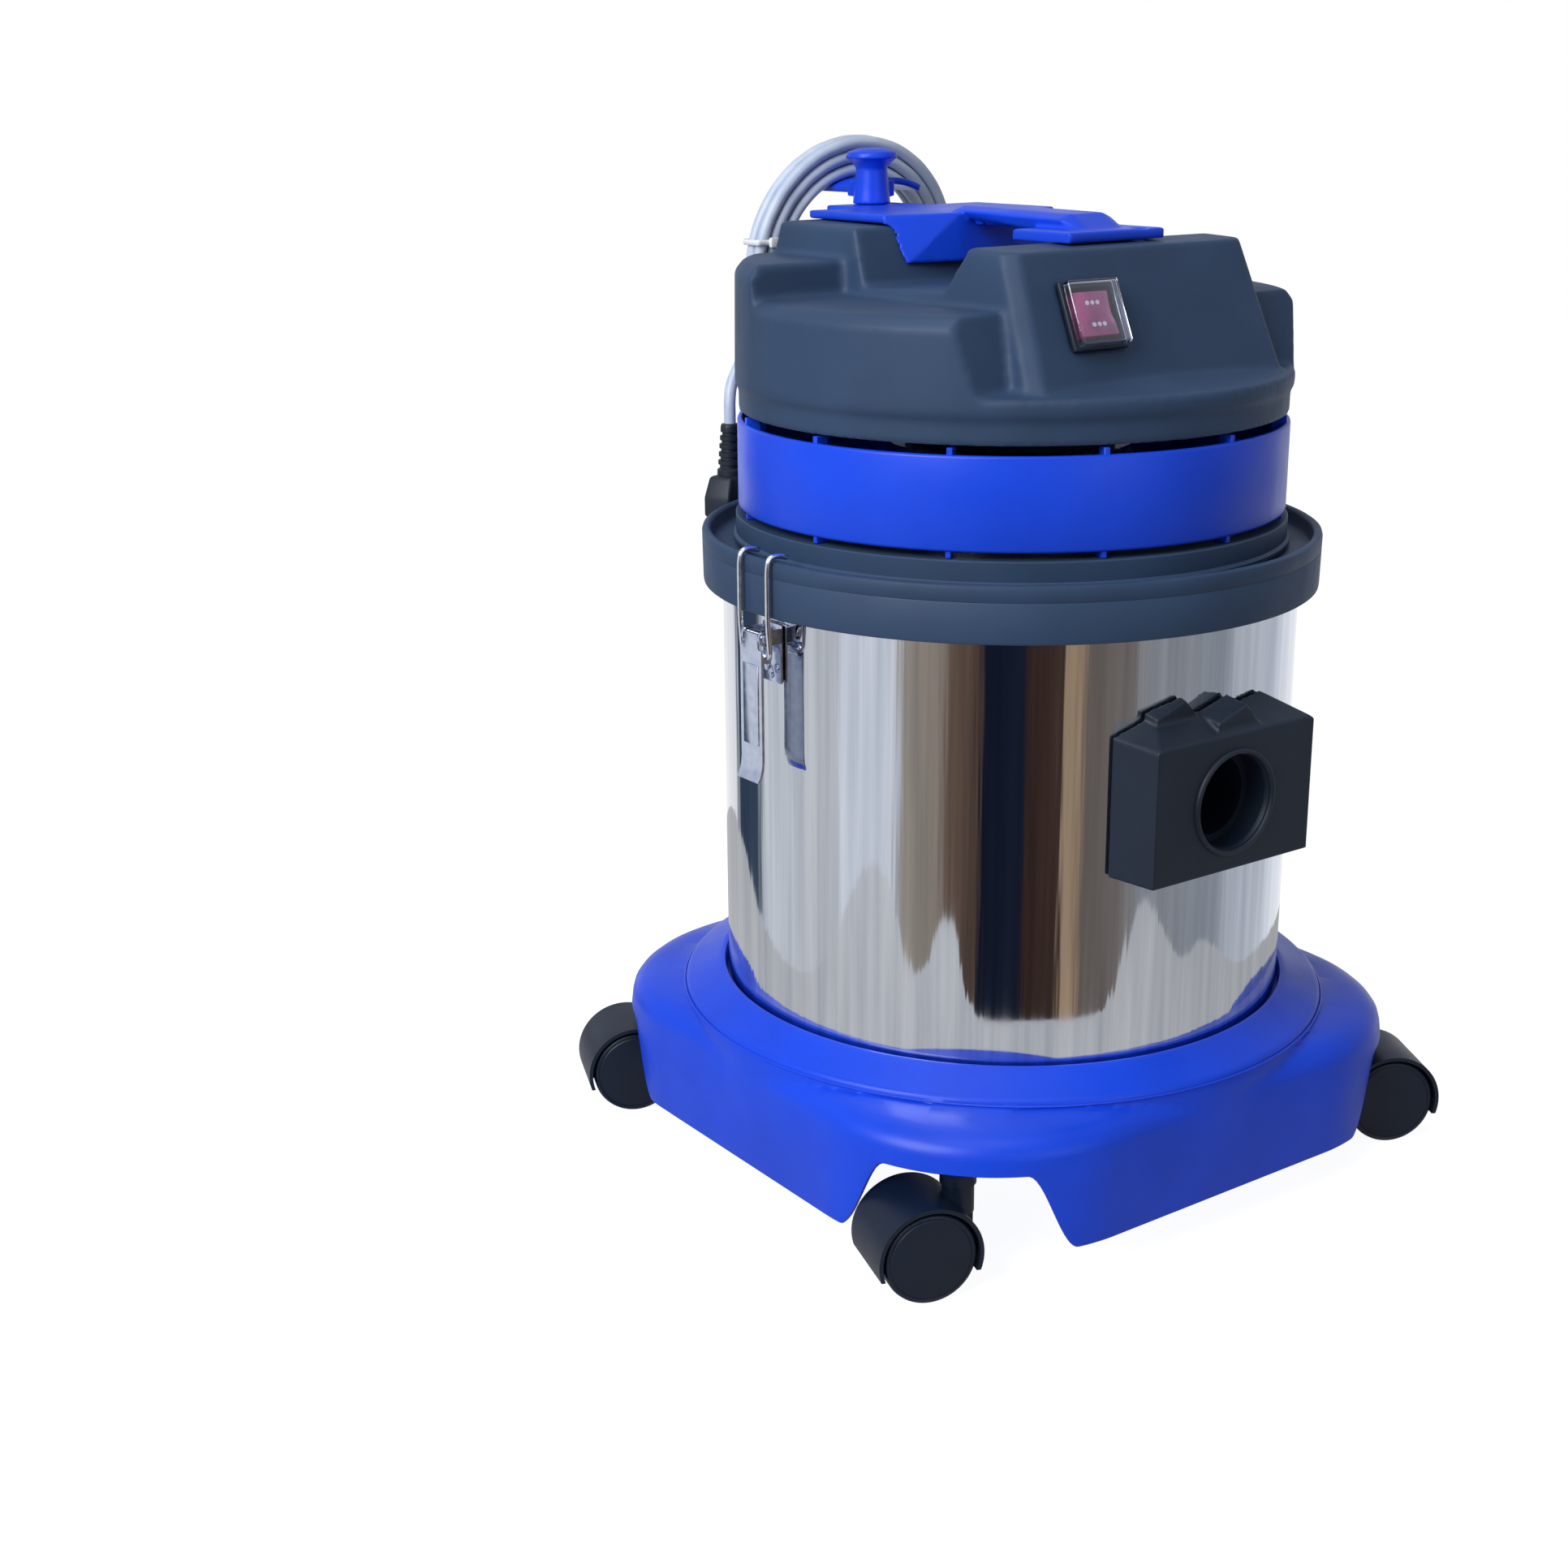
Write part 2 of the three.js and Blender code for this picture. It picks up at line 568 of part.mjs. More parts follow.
// A bent wire: a round section carried from corner to corner, with flat ends.
function wireAlong(points, radius, sides) {
  const rings = points.map((point, i) => {
    const before = points[Math.max(i - 1, 0)];
    const after = points[Math.min(i + 1, points.length - 1)];
    return { point, along: after.clone().sub(before).normalize() };
  });
  let normal = new THREE.Vector3(0, 0, 1);
  if (Math.abs(rings[0].along.z) > 0.8) normal.set(0, 1, 0);
  const vertices = [];
  for (const { point, along } of rings) {
    normal.sub(along.clone().multiplyScalar(normal.dot(along))).normalize();
    const side = along.clone().cross(normal);
    for (let j = 0; j < sides; j++) {
      const a = (j / sides) * 2 * Math.PI;
      const p = point.clone();
      p.addScaledVector(normal, radius * Math.cos(a)).addScaledVector(side, radius * Math.sin(a));
      vertices.push(p.x, p.y, p.z);
    }
  }
  const faces = [];
  for (let i = 0; i + 1 < rings.length; i++) {
    for (let j = 0; j < sides; j++) {
      const k = (j + 1) % sides;
      const a = i * sides;
      const b = a + sides;
      faces.push(a + j, a + k, b + k, a + j, b + k, b + j);
    }
  }
  const last = (rings.length - 1) * sides;
  for (let j = 1; j + 1 < sides; j++) {
    faces.push(0, j + 1, j);
    faces.push(last, last + j, last + j + 1);
  }
  const geometry = new THREE.BufferGeometry();
  geometry.setAttribute("position", new THREE.Float32BufferAttribute(vertices, 3));
  geometry.setIndex(faces);
  return geometry;
}

function addLatches() {
  for (const [name, turn] of [["left", Math.PI], ["right", 0]]) {
    const unit = new THREE.Group();
    unit.rotation.z = turn;
    place(`latch_${name}_bracket`, latchBracket(), "zinc", unit);
    place(`latch_${name}_pin`, latchPin(), "zinc", unit);
    place(`latch_${name}_lever`, latchLever(), "zinc", unit);
    place(`latch_${name}_bail`, latchBail(), "steel", unit);
    machine.add(unit);
  }
}

// ---------- head ----------
// The motor plate: the skirt that stands in the gutter, and the deck that carries the motor.
function motorPlate() {
  const deckZ = skirtTop - 5;
  const wall = 3;
  return turned([
    [FAN_CAN_R - 22, deckZ],
    [SKIRT_R - wall, deckZ],
    [SKIRT_R - wall, skirtBottom],
    [SKIRT_R + 1.5, skirtBottom],
    [SKIRT_R + 1.5, skirtBottom + 2.5],
    [SKIRT_R, skirtBottom + 3.5],
    [SKIRT_R, skirtTop],
    [SKIRT_R - 12, skirtTop],
    [SKIRT_R - 12, deckZ + 3],
    [FAN_CAN_R + 6, deckZ + 3],
    [FAN_CAN_R + 6, deckZ + 8],
    [FAN_CAN_R + 3, deckZ + 8],
    [FAN_CAN_R + 3, deckZ + 3],
    [FAN_CAN_R - 22, deckZ + 3],
  ]);
}

// A soft ring between the skirt and the gutter floor.
const headSeal = () =>
  turned([
    [SKIRT_R - 3, gutterFloor + GAP],
    [SKIRT_R + 1, gutterFloor + GAP],
    [SKIRT_R + 1, skirtBottom - GAP],
    [SKIRT_R - 3, skirtBottom - GAP],
  ]);

function baffleBand() {
  const inner = BAND_R - BAND_WALL;
  const ring = turned([
    [inner, bandBottom],
    [BAND_R - 0.8, bandBottom],
    [BAND_R, bandBottom + 0.8],
    [BAND_R, bandTop - 0.8],
    [BAND_R - 0.8, bandTop],
    [inner, bandTop],
  ]);
  let band = solid(ring);
  for (let i = 0; i < SPACERS; i++) {
    const rib = block(inner - 7, inner + 1.8, -1.5, 1.5, skirtTop + GAP, coverBottom - GAP);
    band = band.add(solid(rib.rotateZ((i / SPACERS) * 2 * Math.PI + 0.13)));
  }
  return geometryOf(band);
}

const coverLevels = {
  step: coverBottom + 13.6,
  ledge: coverBottom + 23.5,
  deck: coverBottom + 62.6,
  rearDeck: coverBottom + 80.6,
  valley: coverBottom + 69.6,
  frontTop: coverBottom + 90.6,
  rearTop: coverBottom + 97,
};

// The cover's outside, drawn in by "inset" everywhere: the outer skin has none, the hollow has the wall.
function coverForm(inset) {
  const L = coverLevels;
  const R = COVER_R - inset;
  const bottom = coverBottom - (inset > 0 ? 5 : 0);
  const low = turned([
    [0, bottom],
    [R - COVER_STEP, bottom],
    [R - COVER_STEP, L.step],
    [R, L.step + 1.5],
    [R, L.ledge - inset],
    [R - 50, L.ledge + 6 - inset],
    [0, L.ledge + 6 - inset],
  ]);
  const drum = (top) =>
    turned([
      [0, L.step + 5],
      [R, L.step + 5],
      [R - 0.8, top - 6 - inset],
      [R - 6, top - inset],
      [0, top - inset],
    ]);
  const depth = COVER_R + 50;
  const shoulderRoom = sideCut(
    [
      [FRONT_Y - 11 + inset, L.ledge],
      [FRONT_Y + inset, L.deck + 1],
      [REAR_Y - 43, L.deck + 1],
      [REAR_Y - 43, L.ledge - 8],
      [FRONT_Y - 11 + inset, L.ledge - 8],
    ],
    -depth,
    depth,
  );
  const rearRoom = sideCut(
    [
      [REAR_Y - 67 + inset, L.deck - 30],
      [REAR_Y - 65 + inset, L.deck],
      [REAR_Y - 62 + inset, L.rearDeck + 1],
      [REAR_Y + 9 - inset, L.rearDeck + 1],
      [REAR_Y + 19 - inset, L.ledge - 8],
      [REAR_Y - 67 + inset, L.ledge - 8],
    ],
    -depth,
    depth,
  );
  const plinth = sideCut(
    [
      [FRONT_Y - 33 + inset, L.ledge - 8],
      [FRONT_Y - SLOPE_RUN + inset, L.ledge + 4],
      [FRONT_Y + inset, L.frontTop - inset],
      [FRONT_Y + 31 - inset, L.frontTop + 1.5 - inset],
      [FRONT_Y + 47 - inset, L.valley - inset],
      [REAR_Y - 81 + inset, L.valley - 2 - inset],
      [REAR_Y - 69 + inset, L.rearTop - inset],
      [REAR_Y - inset, L.rearTop + 1 - inset],
      [REAR_Y + 11 - inset, L.rearDeck],
      [REAR_Y + 27 - inset, L.ledge - 8],
    ],
    -depth,
    depth,
  );
  const flanks = frontCut(
    [
      [-PLINTH_HALF - 6 + inset, L.ledge - 10],
      [PLINTH_HALF + 6 - inset, L.ledge - 10],
      [PLINTH_HALF - 2 - inset, L.rearTop + 4],
      [2 - PLINTH_HALF + inset, L.rearTop + 4],
    ],
    -depth,
    depth,
  );
  return solid(low)
    .add(solid(drum(L.deck)).intersect(solid(shoulderRoom)))
    .add(solid(drum(L.rearDeck)).intersect(solid(rearRoom)))
    .add(solid(plinth).intersect(solid(flanks)));
}

// The switch stands on the sloping front face of the cover: local -Y points out of that face.
const switchFace = () => {
  const unit = new THREE.Group();
  const L = coverLevels;
  unit.position.set(SWITCH_X, FRONT_Y - SLOPE_RUN / 2, (L.ledge + 4 + L.frontTop) / 2);
  unit.rotation.x = -Math.atan2(SLOPE_RUN, L.frontTop - L.ledge - 4);
  return unit;
};
const SWITCH_HALF = 18;
const SWITCH_PROUD = 3.5;
const COLLAR_HALF = 15.5; // of the bezel's collar, through the cover

function headCover() {
  const shell = coverForm(0).subtract(coverForm(COVER_WALL));
  const window = switchFace();
  window.updateMatrixWorld(true);
  const half = COLLAR_HALF + GAP;
  const opening = block(-half, half, -12, 20, -half, half).applyMatrix4(window.matrixWorld);
  const glandHole = rod("x", 7 + GAP, COVER_R - 31, COVER_R + 19, [0, 0, 0]).applyMatrix4(glandFrame());
  return geometryOf(cutOut(shell, opening, glandHole));
}

function addSwitch() {
  const unit = switchFace();
  const square = (half, y0, y1) => block(-half, half, y0, y1, -half, half);
  const bezel = cutOut(
    join(square(SWITCH_HALF, -SWITCH_PROUD, -GAP), square(COLLAR_HALF, -1, 6)),
    square(COLLAR_HALF - 1.8, -9, 9),
  );
  place("switch_bezel", geometryOf(bezel), "black", unit);
  const half = COLLAR_HALF - 4;
  const rocker = sideCut(
    [
      [-SWITCH_PROUD - 1.6, -half],
      [-SWITCH_PROUD + 0.4, 0],
      [-SWITCH_PROUD - 0.2, half],
      [2.5, half],
      [5, 3],
      [5, -3],
      [2.5, -half],
    ],
    -half,
    half,
  );
  place("switch_rocker", rocker, "red", unit);
  place("switch_body", square(COLLAR_HALF - 3, 6 + GAP, 22), "black", unit);
  const rim = 1.4;
  const dome = SWITCH_HALF - 1.2;
  const splash = cutOut(
    solid(square(dome, -9, -SWITCH_PROUD - GAP)),
    square(dome - rim, rim - 9, 0),
  );
  place("switch_splash_cover", geometryOf(splash), "clear", unit);
  machine.add(unit);
}

// ---------- handle and cord hook ----------
function handleGeometry() {
  const L = coverLevels;
  const front = L.frontTop + 1.5 + GAP;
  const rear = L.rearTop + 1 + GAP;
  const gripTop = rear + 9;
  const gripUnder = rear + 1.5;
  const plates = join(
    block(-33, 33, FRONT_Y + 11, FRONT_Y + 55, front, front + 5.5),
    block(-61, 61, REAR_Y - 66, REAR_Y + 1, rear, rear + 4.5),
    block(-24, 24, REAR_Y - 3, MAST_Y + 12, rear, rear + 4.5),
  );
  // the bracket falls from the rear plate's front edge to the grip, ahead of the raised rear part
  const wedge = hull(
    [-1, 1].flatMap((s) => [
      [s * 61, REAR_Y - 66, rear + 4.5],
      [s * 61, REAR_Y - 66, rear],
      [s * 20, REAR_Y - 81, rear + 5],
      [s * 54, REAR_Y - 79, L.valley + 8],
      [s * 20, REAR_Y - 83, L.valley + 8],
      [s * 54, REAR_Y - 70.5 - GAP, rear],
      [s * 54, REAR_Y - 77, L.valley + 8],
    ]),
  );
  const grip = hull(
    [-1, 1].flatMap((s) => [
      [s * 15, REAR_Y - 73, gripUnder + 1],
      [s * 18, REAR_Y - 73, gripTop - 3],
      [s * 11, REAR_Y - 73, gripTop - 1],
      [s * 15, FRONT_Y + 41, gripUnder - 2],
      [s * 18, FRONT_Y + 35, gripTop - 5],
      [s * 11, FRONT_Y + 35, gripTop - 2],
      [s * 11, FRONT_Y + 21, front + 5],
      [s * 15, FRONT_Y + 21, front + 4],
      [s * 15, FRONT_Y + 39, front + 2],
    ]),
  );
  const screwHole = rod("z", 3, front - 1, front + 9, [20, FRONT_Y + 17, 0], 16);
  const towerRoom = coverForm(-GAP);
  const whole = plates.add(solid(wedge)).add(solid(grip)).subtract(solid(screwHole)).subtract(towerRoom);
  return geometryOf(whole);
}

const hookBase = () => coverLevels.rearTop + 1 + GAP + 4.5 + GAP;

function cordHook() {
  const foot = hookBase();
  const mast = turned(
    [
      [0, foot],
      [11, foot],
      [10, foot + 8],
      [9, foot + 20],
      [12, foot + 24],
      [15, foot + 26],
      [14, foot + 29],
      [8, foot + 31],
      [0, foot + 31],
    ],
    SEG_SMALL,
    [0, MAST_Y, 0],
  );
  const innerR = hankInner() - 2 * GAP;
  const centreZ = HANK_TOP_Z - HANK_BEND_R - CORD_R;
  const outline = [];
  const inside = [];
  for (let i = 0; i <= 8; i++) {
    const a = Math.PI / 2 + (0.5 - i / 8) * 0.9;
    outline.push([HANK_X + innerR * Math.cos(a), centreZ + innerR * Math.sin(a)]);
    inside.unshift([HANK_X + (innerR - 4) * Math.cos(a), centreZ + (innerR - 4) * Math.sin(a)]);
  }
  // the saddle follows the hank's inner bend and reaches back from the mast to carry it
  const saddle = frontCut([...outline, ...inside], MAST_Y + 4, HANK_TOP_Y + 14);
  const lip = frontCut([...outline.map(([x, z]) => [x, z + 3]), ...inside], HANK_TOP_Y + 12, HANK_TOP_Y + 14);
  const strut = block(-6, 14, MAST_Y - 4, MAST_Y + 16, foot + 4, foot + 13);
  return geometryOf(join(mast, saddle, lip, strut));
}

// ---------- motor and fan ----------
const deckTop = skirtTop - 2;
const motorFoot = deckTop + GAP;

function fanCan() {
  const top = motorFoot + FAN_CAN_HEIGHT;
  const inner = FAN_CAN_R - 1.2;
  return turned([
    [FAN_CAN_R - 40, motorFoot],
    [FAN_CAN_R, motorFoot],
    [FAN_CAN_R, top],
    [SHAFT_R + 12, top],
    [SHAFT_R + 12, top - 1.2],
    [inner, top - 1.2],
    [inner, motorFoot + 1.2],
    [FAN_CAN_R - 40, motorFoot + 1.2],
  ], SEG_MID);
}

function impeller() {
  const low = motorFoot + 6;
  const disc = turned(
    [
      [0, low],
      [FAN_CAN_R - 6, low],
      [FAN_CAN_R - 6, low + 1.4],
      [0, low + 1.4],
    ],
    SEG_MID,
  );
  let fan = solid(disc).add(solid(rod("z", 12, low, low + 18, [0, 0, 0])));
  const vanes = 8;
  for (let i = 0; i < vanes; i++) {
    const vane = block(10, FAN_CAN_R - 7, -0.8, 0.8, low + 1, low + 16);
    vane.rotateZ(0.35).translate(3, -4, 0).rotateZ((i / vanes) * 2 * Math.PI);
    fan = fan.add(solid(vane));
  }
  return geometryOf(fan.subtract(solid(rod("z", SHAFT_R, low - 2, low + 30, [0, 0, 0]))));
}

function addMotor() {
  const canTop = motorFoot + FAN_CAN_HEIGHT;
  const shellFoot = canTop + GAP;
  const shellTop = shellFoot + 62;
  place("fan_can", fanCan(), "steel");
  place("impeller", impeller(), "zinc");
  const shaftTop = shellTop + 4;
  place("motor_shaft", rod("z", SHAFT_R - GAP, motorFoot + 5, shaftTop, [0, 0, 0]), "zinc");
  const stator = cutOut(
    solid(rod("z", 44, shellFoot + 14, shellFoot + 46, [0, 0, 0], SEG_MID)),
    rod("z", 27, shellFoot, shellFoot + 60, [0, 0, 0], SEG_MID),
  );
  place("motor_stator", geometryOf(stator), "copper");
  const armature = cutOut(
    join(
      rod("z", 25, shellFoot + 15, shellFoot + 45, [0, 0, 0], SEG_MID),
      rod("z", 14, shellFoot + 45, shellFoot + 56, [0, 0, 0], SEG_MID),
    ),
    rod("z", SHAFT_R, shellFoot, shellTop + 9, [0, 0, 0]),
  );
  place("motor_armature", geometryOf(armature), "copper");
  const shell = turned(
    [
      [46, shellFoot],
      [MOTOR_SHELL_R, shellFoot],
      [MOTOR_SHELL_R, shellTop],
      [SHAFT_R + 1, shellTop],
      [SHAFT_R + 1, shellTop - 3],
      [46, shellTop - 3],
    ],
    SEG_MID,
  );
  place("motor_shell", shell, "slate");
}

// ---------- float and filter ----------
function addFilter() {
  const deckUnder = skirtTop - 5;
  const top = deckUnder - GAP;
  const cageR = 40;
  const cageDepth = 70;
  const cage = turned(
    [
      [cageR - 2, top - cageDepth],
      [cageR, top - cageDepth],
      [cageR, top - 3],
      [cageR + 14, top - 3],
      [cageR + 14, top],
      [cageR - 2, top],
    ],
    SEG_MID,
  );
  const floor = rod("z", cageR, top - cageDepth, top - cageDepth + 2, [0, 0, 0], SEG_MID);
  const windows = [0, 1, 2].map((i) =>
    block(-60, 60, -12, 12, top - cageDepth + 8, top - 14).rotateZ((i * Math.PI) / 3),
  );
  place("float_cage", geometryOf(cutOut(join(cage, floor), ...windows)), "black");
  const floatTop = top - 26;
  const float = turned(
    [
      [0, floatTop - 34],
      [24, floatTop - 34],
      [28, floatTop - 28],
      [28, floatTop - 8],
      [20, floatTop],
      [0, floatTop],
    ],
    SEG_SMALL,
  );
  place("float", float, "white");
  const frameR = GUTTER_R - 4;
  const bagTop = top - GAP;
  const bagR = cageR + 62;
  const frame = turned([
    [bagR, bagTop - 8],
    [frameR, bagTop - 8],
    [frameR, bagTop],
    [bagR - 3, bagTop],
    [bagR - 3, bagTop - 4],
  ]);
  place("filter_frame", frame, "black");
  const bagFoot = bagTop - 150;
  const bag = turned(
    [
      [0, bagFoot],
      [bagR - 26, bagFoot],
      [bagR - 10, bagFoot + 14],
      [bagR - 4, bagTop - 9],
      [bagR - 4, bagTop - 4.4],
      [bagR - 8, bagTop - 4.4],
      [bagR - 14, bagFoot + 16],
      [bagR - 28, bagFoot + 4],
      [0, bagFoot + 4],
    ],
    SEG_MID,
  );
  place("filter_bag", bag, "cloth");
}

// ---------- mains cord ----------
const hankInner = () => HANK_BEND_R - (HANK_TURNS_OUT - 1) * 2 * CORD_R - CORD_R;

// Gland frame: X points out of the cover's rear wall, right of the hank.
function glandFrame() {
  const turn = THREE.MathUtils.degToRad(38);
  const frame = new THREE.Matrix4().makeRotationZ(turn);
  return frame.setPosition(0, 0, coverBottom + 34);
}

// Upright stadium, as a THREE.Path, centred on the hank's own middle.
function stadium(path, radius, half) {
  path.absarc(0, half, radius, 0, Math.PI, false);
  path.absarc(0, -half, radius, Math.PI, 2 * Math.PI, false);
  path.closePath();
  return path;
}

function hankGeometry() {
  const half = HANK_RUN / 2;
  const outer = stadium(new THREE.Shape(), HANK_BEND_R + CORD_R, half);
  outer.holes.push(stadium(new THREE.Path(), hankInner() + GAP, half));
  const depth = HANK_TURNS_DEEP * 2 * CORD_R;
  const geometry = new THREE.ExtrudeGeometry(outer, { depth, bevelEnabled: false, curveSegments: 14 });
  geometry.translate(0, 0, -depth / 2).rotateX(Math.PI / 2);
  geometry.translate(0, 0, -(half + HANK_BEND_R + CORD_R)).rotateX(HANK_TILT);
  return geometry.translate(HANK_X, HANK_TOP_Y, HANK_TOP_Z);
}

// Chosen by hand: from the gland to the hank's right run.
const LEAD_IN = [
  [147.6, 115.3, 458.2],
  [153.5, 120, 457.5],
  [158, 126, 454],
  [158, 136, 446],
  [152, 148, 436],
  [140, 158, 428],
  [126, 165, 424],
  [112, 169.5, 424],
  [102, 171.8, 425.5],
  [97.5, 172.6, 427.5],
];

// Chosen by hand: from the hank's left run down to the plug.
const LEAD_OUT = [
  [-61, 171.5, 436.5],
  [-63.5, 171.5, 437.3],
  [-66.5, 171, 436.5],
  [-70.5, 170, 432],
  [-72.5, 169, 425.5],
  [-73, 168.2, 418],
  [-73, 168, 410],
  [-73, 168, 402.6],
];

function addCord() {
  const gland = turned(
    [
      [0, COVER_R - 8.5],
      [6.6, COVER_R - 8.5],
      [6.6, COVER_R + GAP],
      [10, COVER_R + GAP],
      [10, COVER_R + 4],
      [7.4, COVER_R + 6],
      [5.6, COVER_R + 34],
      [0, COVER_R + 34],
    ],
    20,
  );
  gland.rotateY(Math.PI / 2).applyMatrix4(glandFrame());
  place("cord_gland", gland, "black");
  place("cord_lead_in", tubeAlong(LEAD_IN, CORD_R, 18), "grey");
  place("cord_hank", hankGeometry(), "grey");
  place("cord_lead_out", tubeAlong(LEAD_OUT, CORD_R, 10), "grey");
  place("plug", plugGeometry(), "black");
}

// A round cord of eight sides swept through a list of points.
function tubeAlong(points, radius, steps) {
  const section = new THREE.Shape();
  for (let i = 0; i < 8; i++) {
    const a = (i / 8) * 2 * Math.PI;
    section[i ? "lineTo" : "moveTo"](radius * Math.cos(a), radius * Math.sin(a));
  }
  const extrudePath = new THREE.CatmullRomCurve3(points.map((p) => new THREE.Vector3(...p)));
  return new THREE.ExtrudeGeometry(section, { steps, extrudePath, bevelEnabled: false });
}

function plugGeometry() {
  const [x, y, entry] = LEAD_OUT[LEAD_OUT.length - 1];
  const top = entry - GAP;
  const neck = turned(
    [
      [0, top - 30],
      [8, top - 30],
      [5.4, top],
      [0, top],
    ],
    16,
  );
  const body = hull(
    [-1, 1].flatMap((s) => [
      [s * 12, -8, top - 30],
      [s * 12, 8, top - 30],
      [s * 17, -9, top - 42],
      [s * 17, 9, top - 42],
      [s * 17, -9, top - 54],
      [s * 17, 9, top - 54],
    ]),
  );
  const pins = [-9.5, 9.5].map((px) => rod("z", 2.4, top - 73, top - 53, [px, 0, 0], 12));
  const whole = geometryOf(join(neck, body, ...pins));
  return whole.rotateZ(THREE.MathUtils.degToRad(24)).translate(x, y, 0);
}

// ---------- assembly ----------
place("trolley_base", trolleyBase(), "blue");
addCasters();
place("tank", tankGeometry(), "steel");
place("rim_band", rimBand(), "slate");
place("inlet_housing", inletHousing(), "black");
place("inlet_elbow", inletElbow(), "black");
addLatches();
place("motor_plate", motorPlate(), "slate");
place("head_seal", headSeal(), "rubber");
place("baffle_band", baffleBand(), "blue");
place("head_cover", headCover(), "slate");
addSwitch();
place("handle", handleGeometry(), "blue");
place("cord_hook", cordHook(), "blue");
addMotor();
addFilter();
addCord();

export default machine;
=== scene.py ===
"""Builds the finished look of a wet and dry canister vacuum cleaner round its solid model."""

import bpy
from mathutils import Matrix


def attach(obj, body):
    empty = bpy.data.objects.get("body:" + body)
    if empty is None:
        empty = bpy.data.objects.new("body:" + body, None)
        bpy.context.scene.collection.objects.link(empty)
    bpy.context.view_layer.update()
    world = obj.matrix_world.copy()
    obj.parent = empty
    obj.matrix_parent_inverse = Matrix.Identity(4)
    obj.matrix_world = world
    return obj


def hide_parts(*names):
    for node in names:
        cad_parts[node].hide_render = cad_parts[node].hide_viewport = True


bl_info = {
    "name": "Canister Vacuum Builder",
    "version": (1, 0, 0),
    "blender": (4, 5, 0),
    "location": "3D View > Sidebar > Canister",
    "description": "Models a castered steel canister vacuum cleaner, piece by piece",
    "category": "Add Mesh",
}

import math

import bmesh
import bpy
from bpy.props import FloatProperty, FloatVectorProperty, IntProperty, PointerProperty
from mathutils import Matrix, Vector

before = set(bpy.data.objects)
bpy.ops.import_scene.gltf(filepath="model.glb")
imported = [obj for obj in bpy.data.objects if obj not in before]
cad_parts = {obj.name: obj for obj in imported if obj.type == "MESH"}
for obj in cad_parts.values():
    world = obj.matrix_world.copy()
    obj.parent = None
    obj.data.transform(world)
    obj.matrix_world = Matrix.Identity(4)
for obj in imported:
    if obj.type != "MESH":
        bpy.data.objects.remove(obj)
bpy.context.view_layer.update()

MM = 0.001  # everything below is worked out in millimetres and scaled once, when a piece is made
TURN = 2 * math.pi
SHIFT = Matrix.Translation
LEFT_RIGHT = (("left", -1), ("right", 1))


def turned(axis, degrees):
    return Matrix.Rotation(math.radians(degrees), 4, axis)


# heights on the machine
BASE_FOOT, SHOULDER = 23.0, 75.0
SEAT = 91.7
TANK_TOP = 349.0
GUTTER = 352.9
RIM_TOP, RIM_FOOT = 360.9, 330.9
SKIRT_FOOT, SKIRT_TOP = 354.8, 368.8
BAND_FOOT, BAND_TOP = 372.6, 420.6
COVER_FOOT = 424.4
STEP, LEDGE, DECK, REAR_DECK = 438.0, 447.9, 487.0, 505.0
VALLEY, FRONT_TOP, REAR_TOP = 494.0, 515.0, 521.4

# radii and half widths
BASE_HALF, BASE_CORNER = 188.0, 108.0
TANK_R = 160.0
RIM_R = 171.0
SKIRT_R, BAND_R, COVER_R = 152.0, 150.5, 151.5
CASTER_X, CASTER_Y, TRAIL, WHEEL_R = 147.0, 140.0, 22.0, 25.0
CASTERS = (
    ("front_left", -1, -1, 162), ("front_right", 1, -1, -28), ("rear_right", 1, 1, -18),
    ("rear_left", -1, 1, 158),
)
ARCH_TOP, ARCH_HALF, ARCH_FADE = 67, 37, 26  # the arches over the casters: crown, half width, run down
INLET_Z = 242.0
PIN_R, PIN_Z = 172.0, 320.0
BAIL_Z = PIN_Z - 10  # where the bail hooks into the lever
FACE_RUN, FACE_RISE = 27.5, 63.1  # how far the switch face leans back over its height
FACE_LEAN = math.atan2(FACE_RUN, FACE_RISE)
SWITCH_AT = SHIFT((-41, -104.75, 483.45)) @ Matrix.Rotation(-FACE_LEAN, 4, "X")
GLAND_AT = SHIFT((0, 0, 458.4)) @ turned("Z", 38)

# the hank of mains cord
HANK_X, HANK_Y, HANK_TOP = 18.0, 162.0, 565.0
HANK_LEAN = 0.095
HANK_BEND, HANK_RUN = 71.0, 167.0
HANK_CELL = 7.6  # room for one turn, both ways


# ---------- looks ----------
def linear(code):
    """An sRGB hex colour as linear red, green, blue and alpha."""
    parts = [int(code[i : i + 2], 16) / 255 for i in (1, 3, 5)]
    return [c / 12.92 if c <= 0.04045 else ((c + 0.055) / 1.055) ** 2.4 for c in parts] + [1.0]


def add_node(tree, kind, inputs=None, **settings):
    """Adds one shader node; an input is given a value, or the socket that feeds it."""
    made = tree.nodes.new("ShaderNode" + kind)
    for key, value in settings.items():
        setattr(made, key, value)
    for key, value in (inputs or {}).items():
        if isinstance(value, bpy.types.NodeSocket):
            tree.links.new(value, made.inputs[key])
        else:
            made.inputs[key].default_value = value
    return made


def begun(name):
    """A new material, its empty tree and its object coordinates."""
    material = bpy.data.materials.new(name)
    material.use_nodes = True
    material.node_tree.nodes.clear()
    return material, material.node_tree, add_node(material.node_tree, "TexCoord").outputs["Object"]


def finished(material, inputs):
    """Gives a material its surface shader."""
    surface = add_node(material.node_tree, "BsdfPrincipled", inputs)
    add_node(material.node_tree, "OutputMaterial", {"Surface": surface.outputs["BSDF"]})
    return material


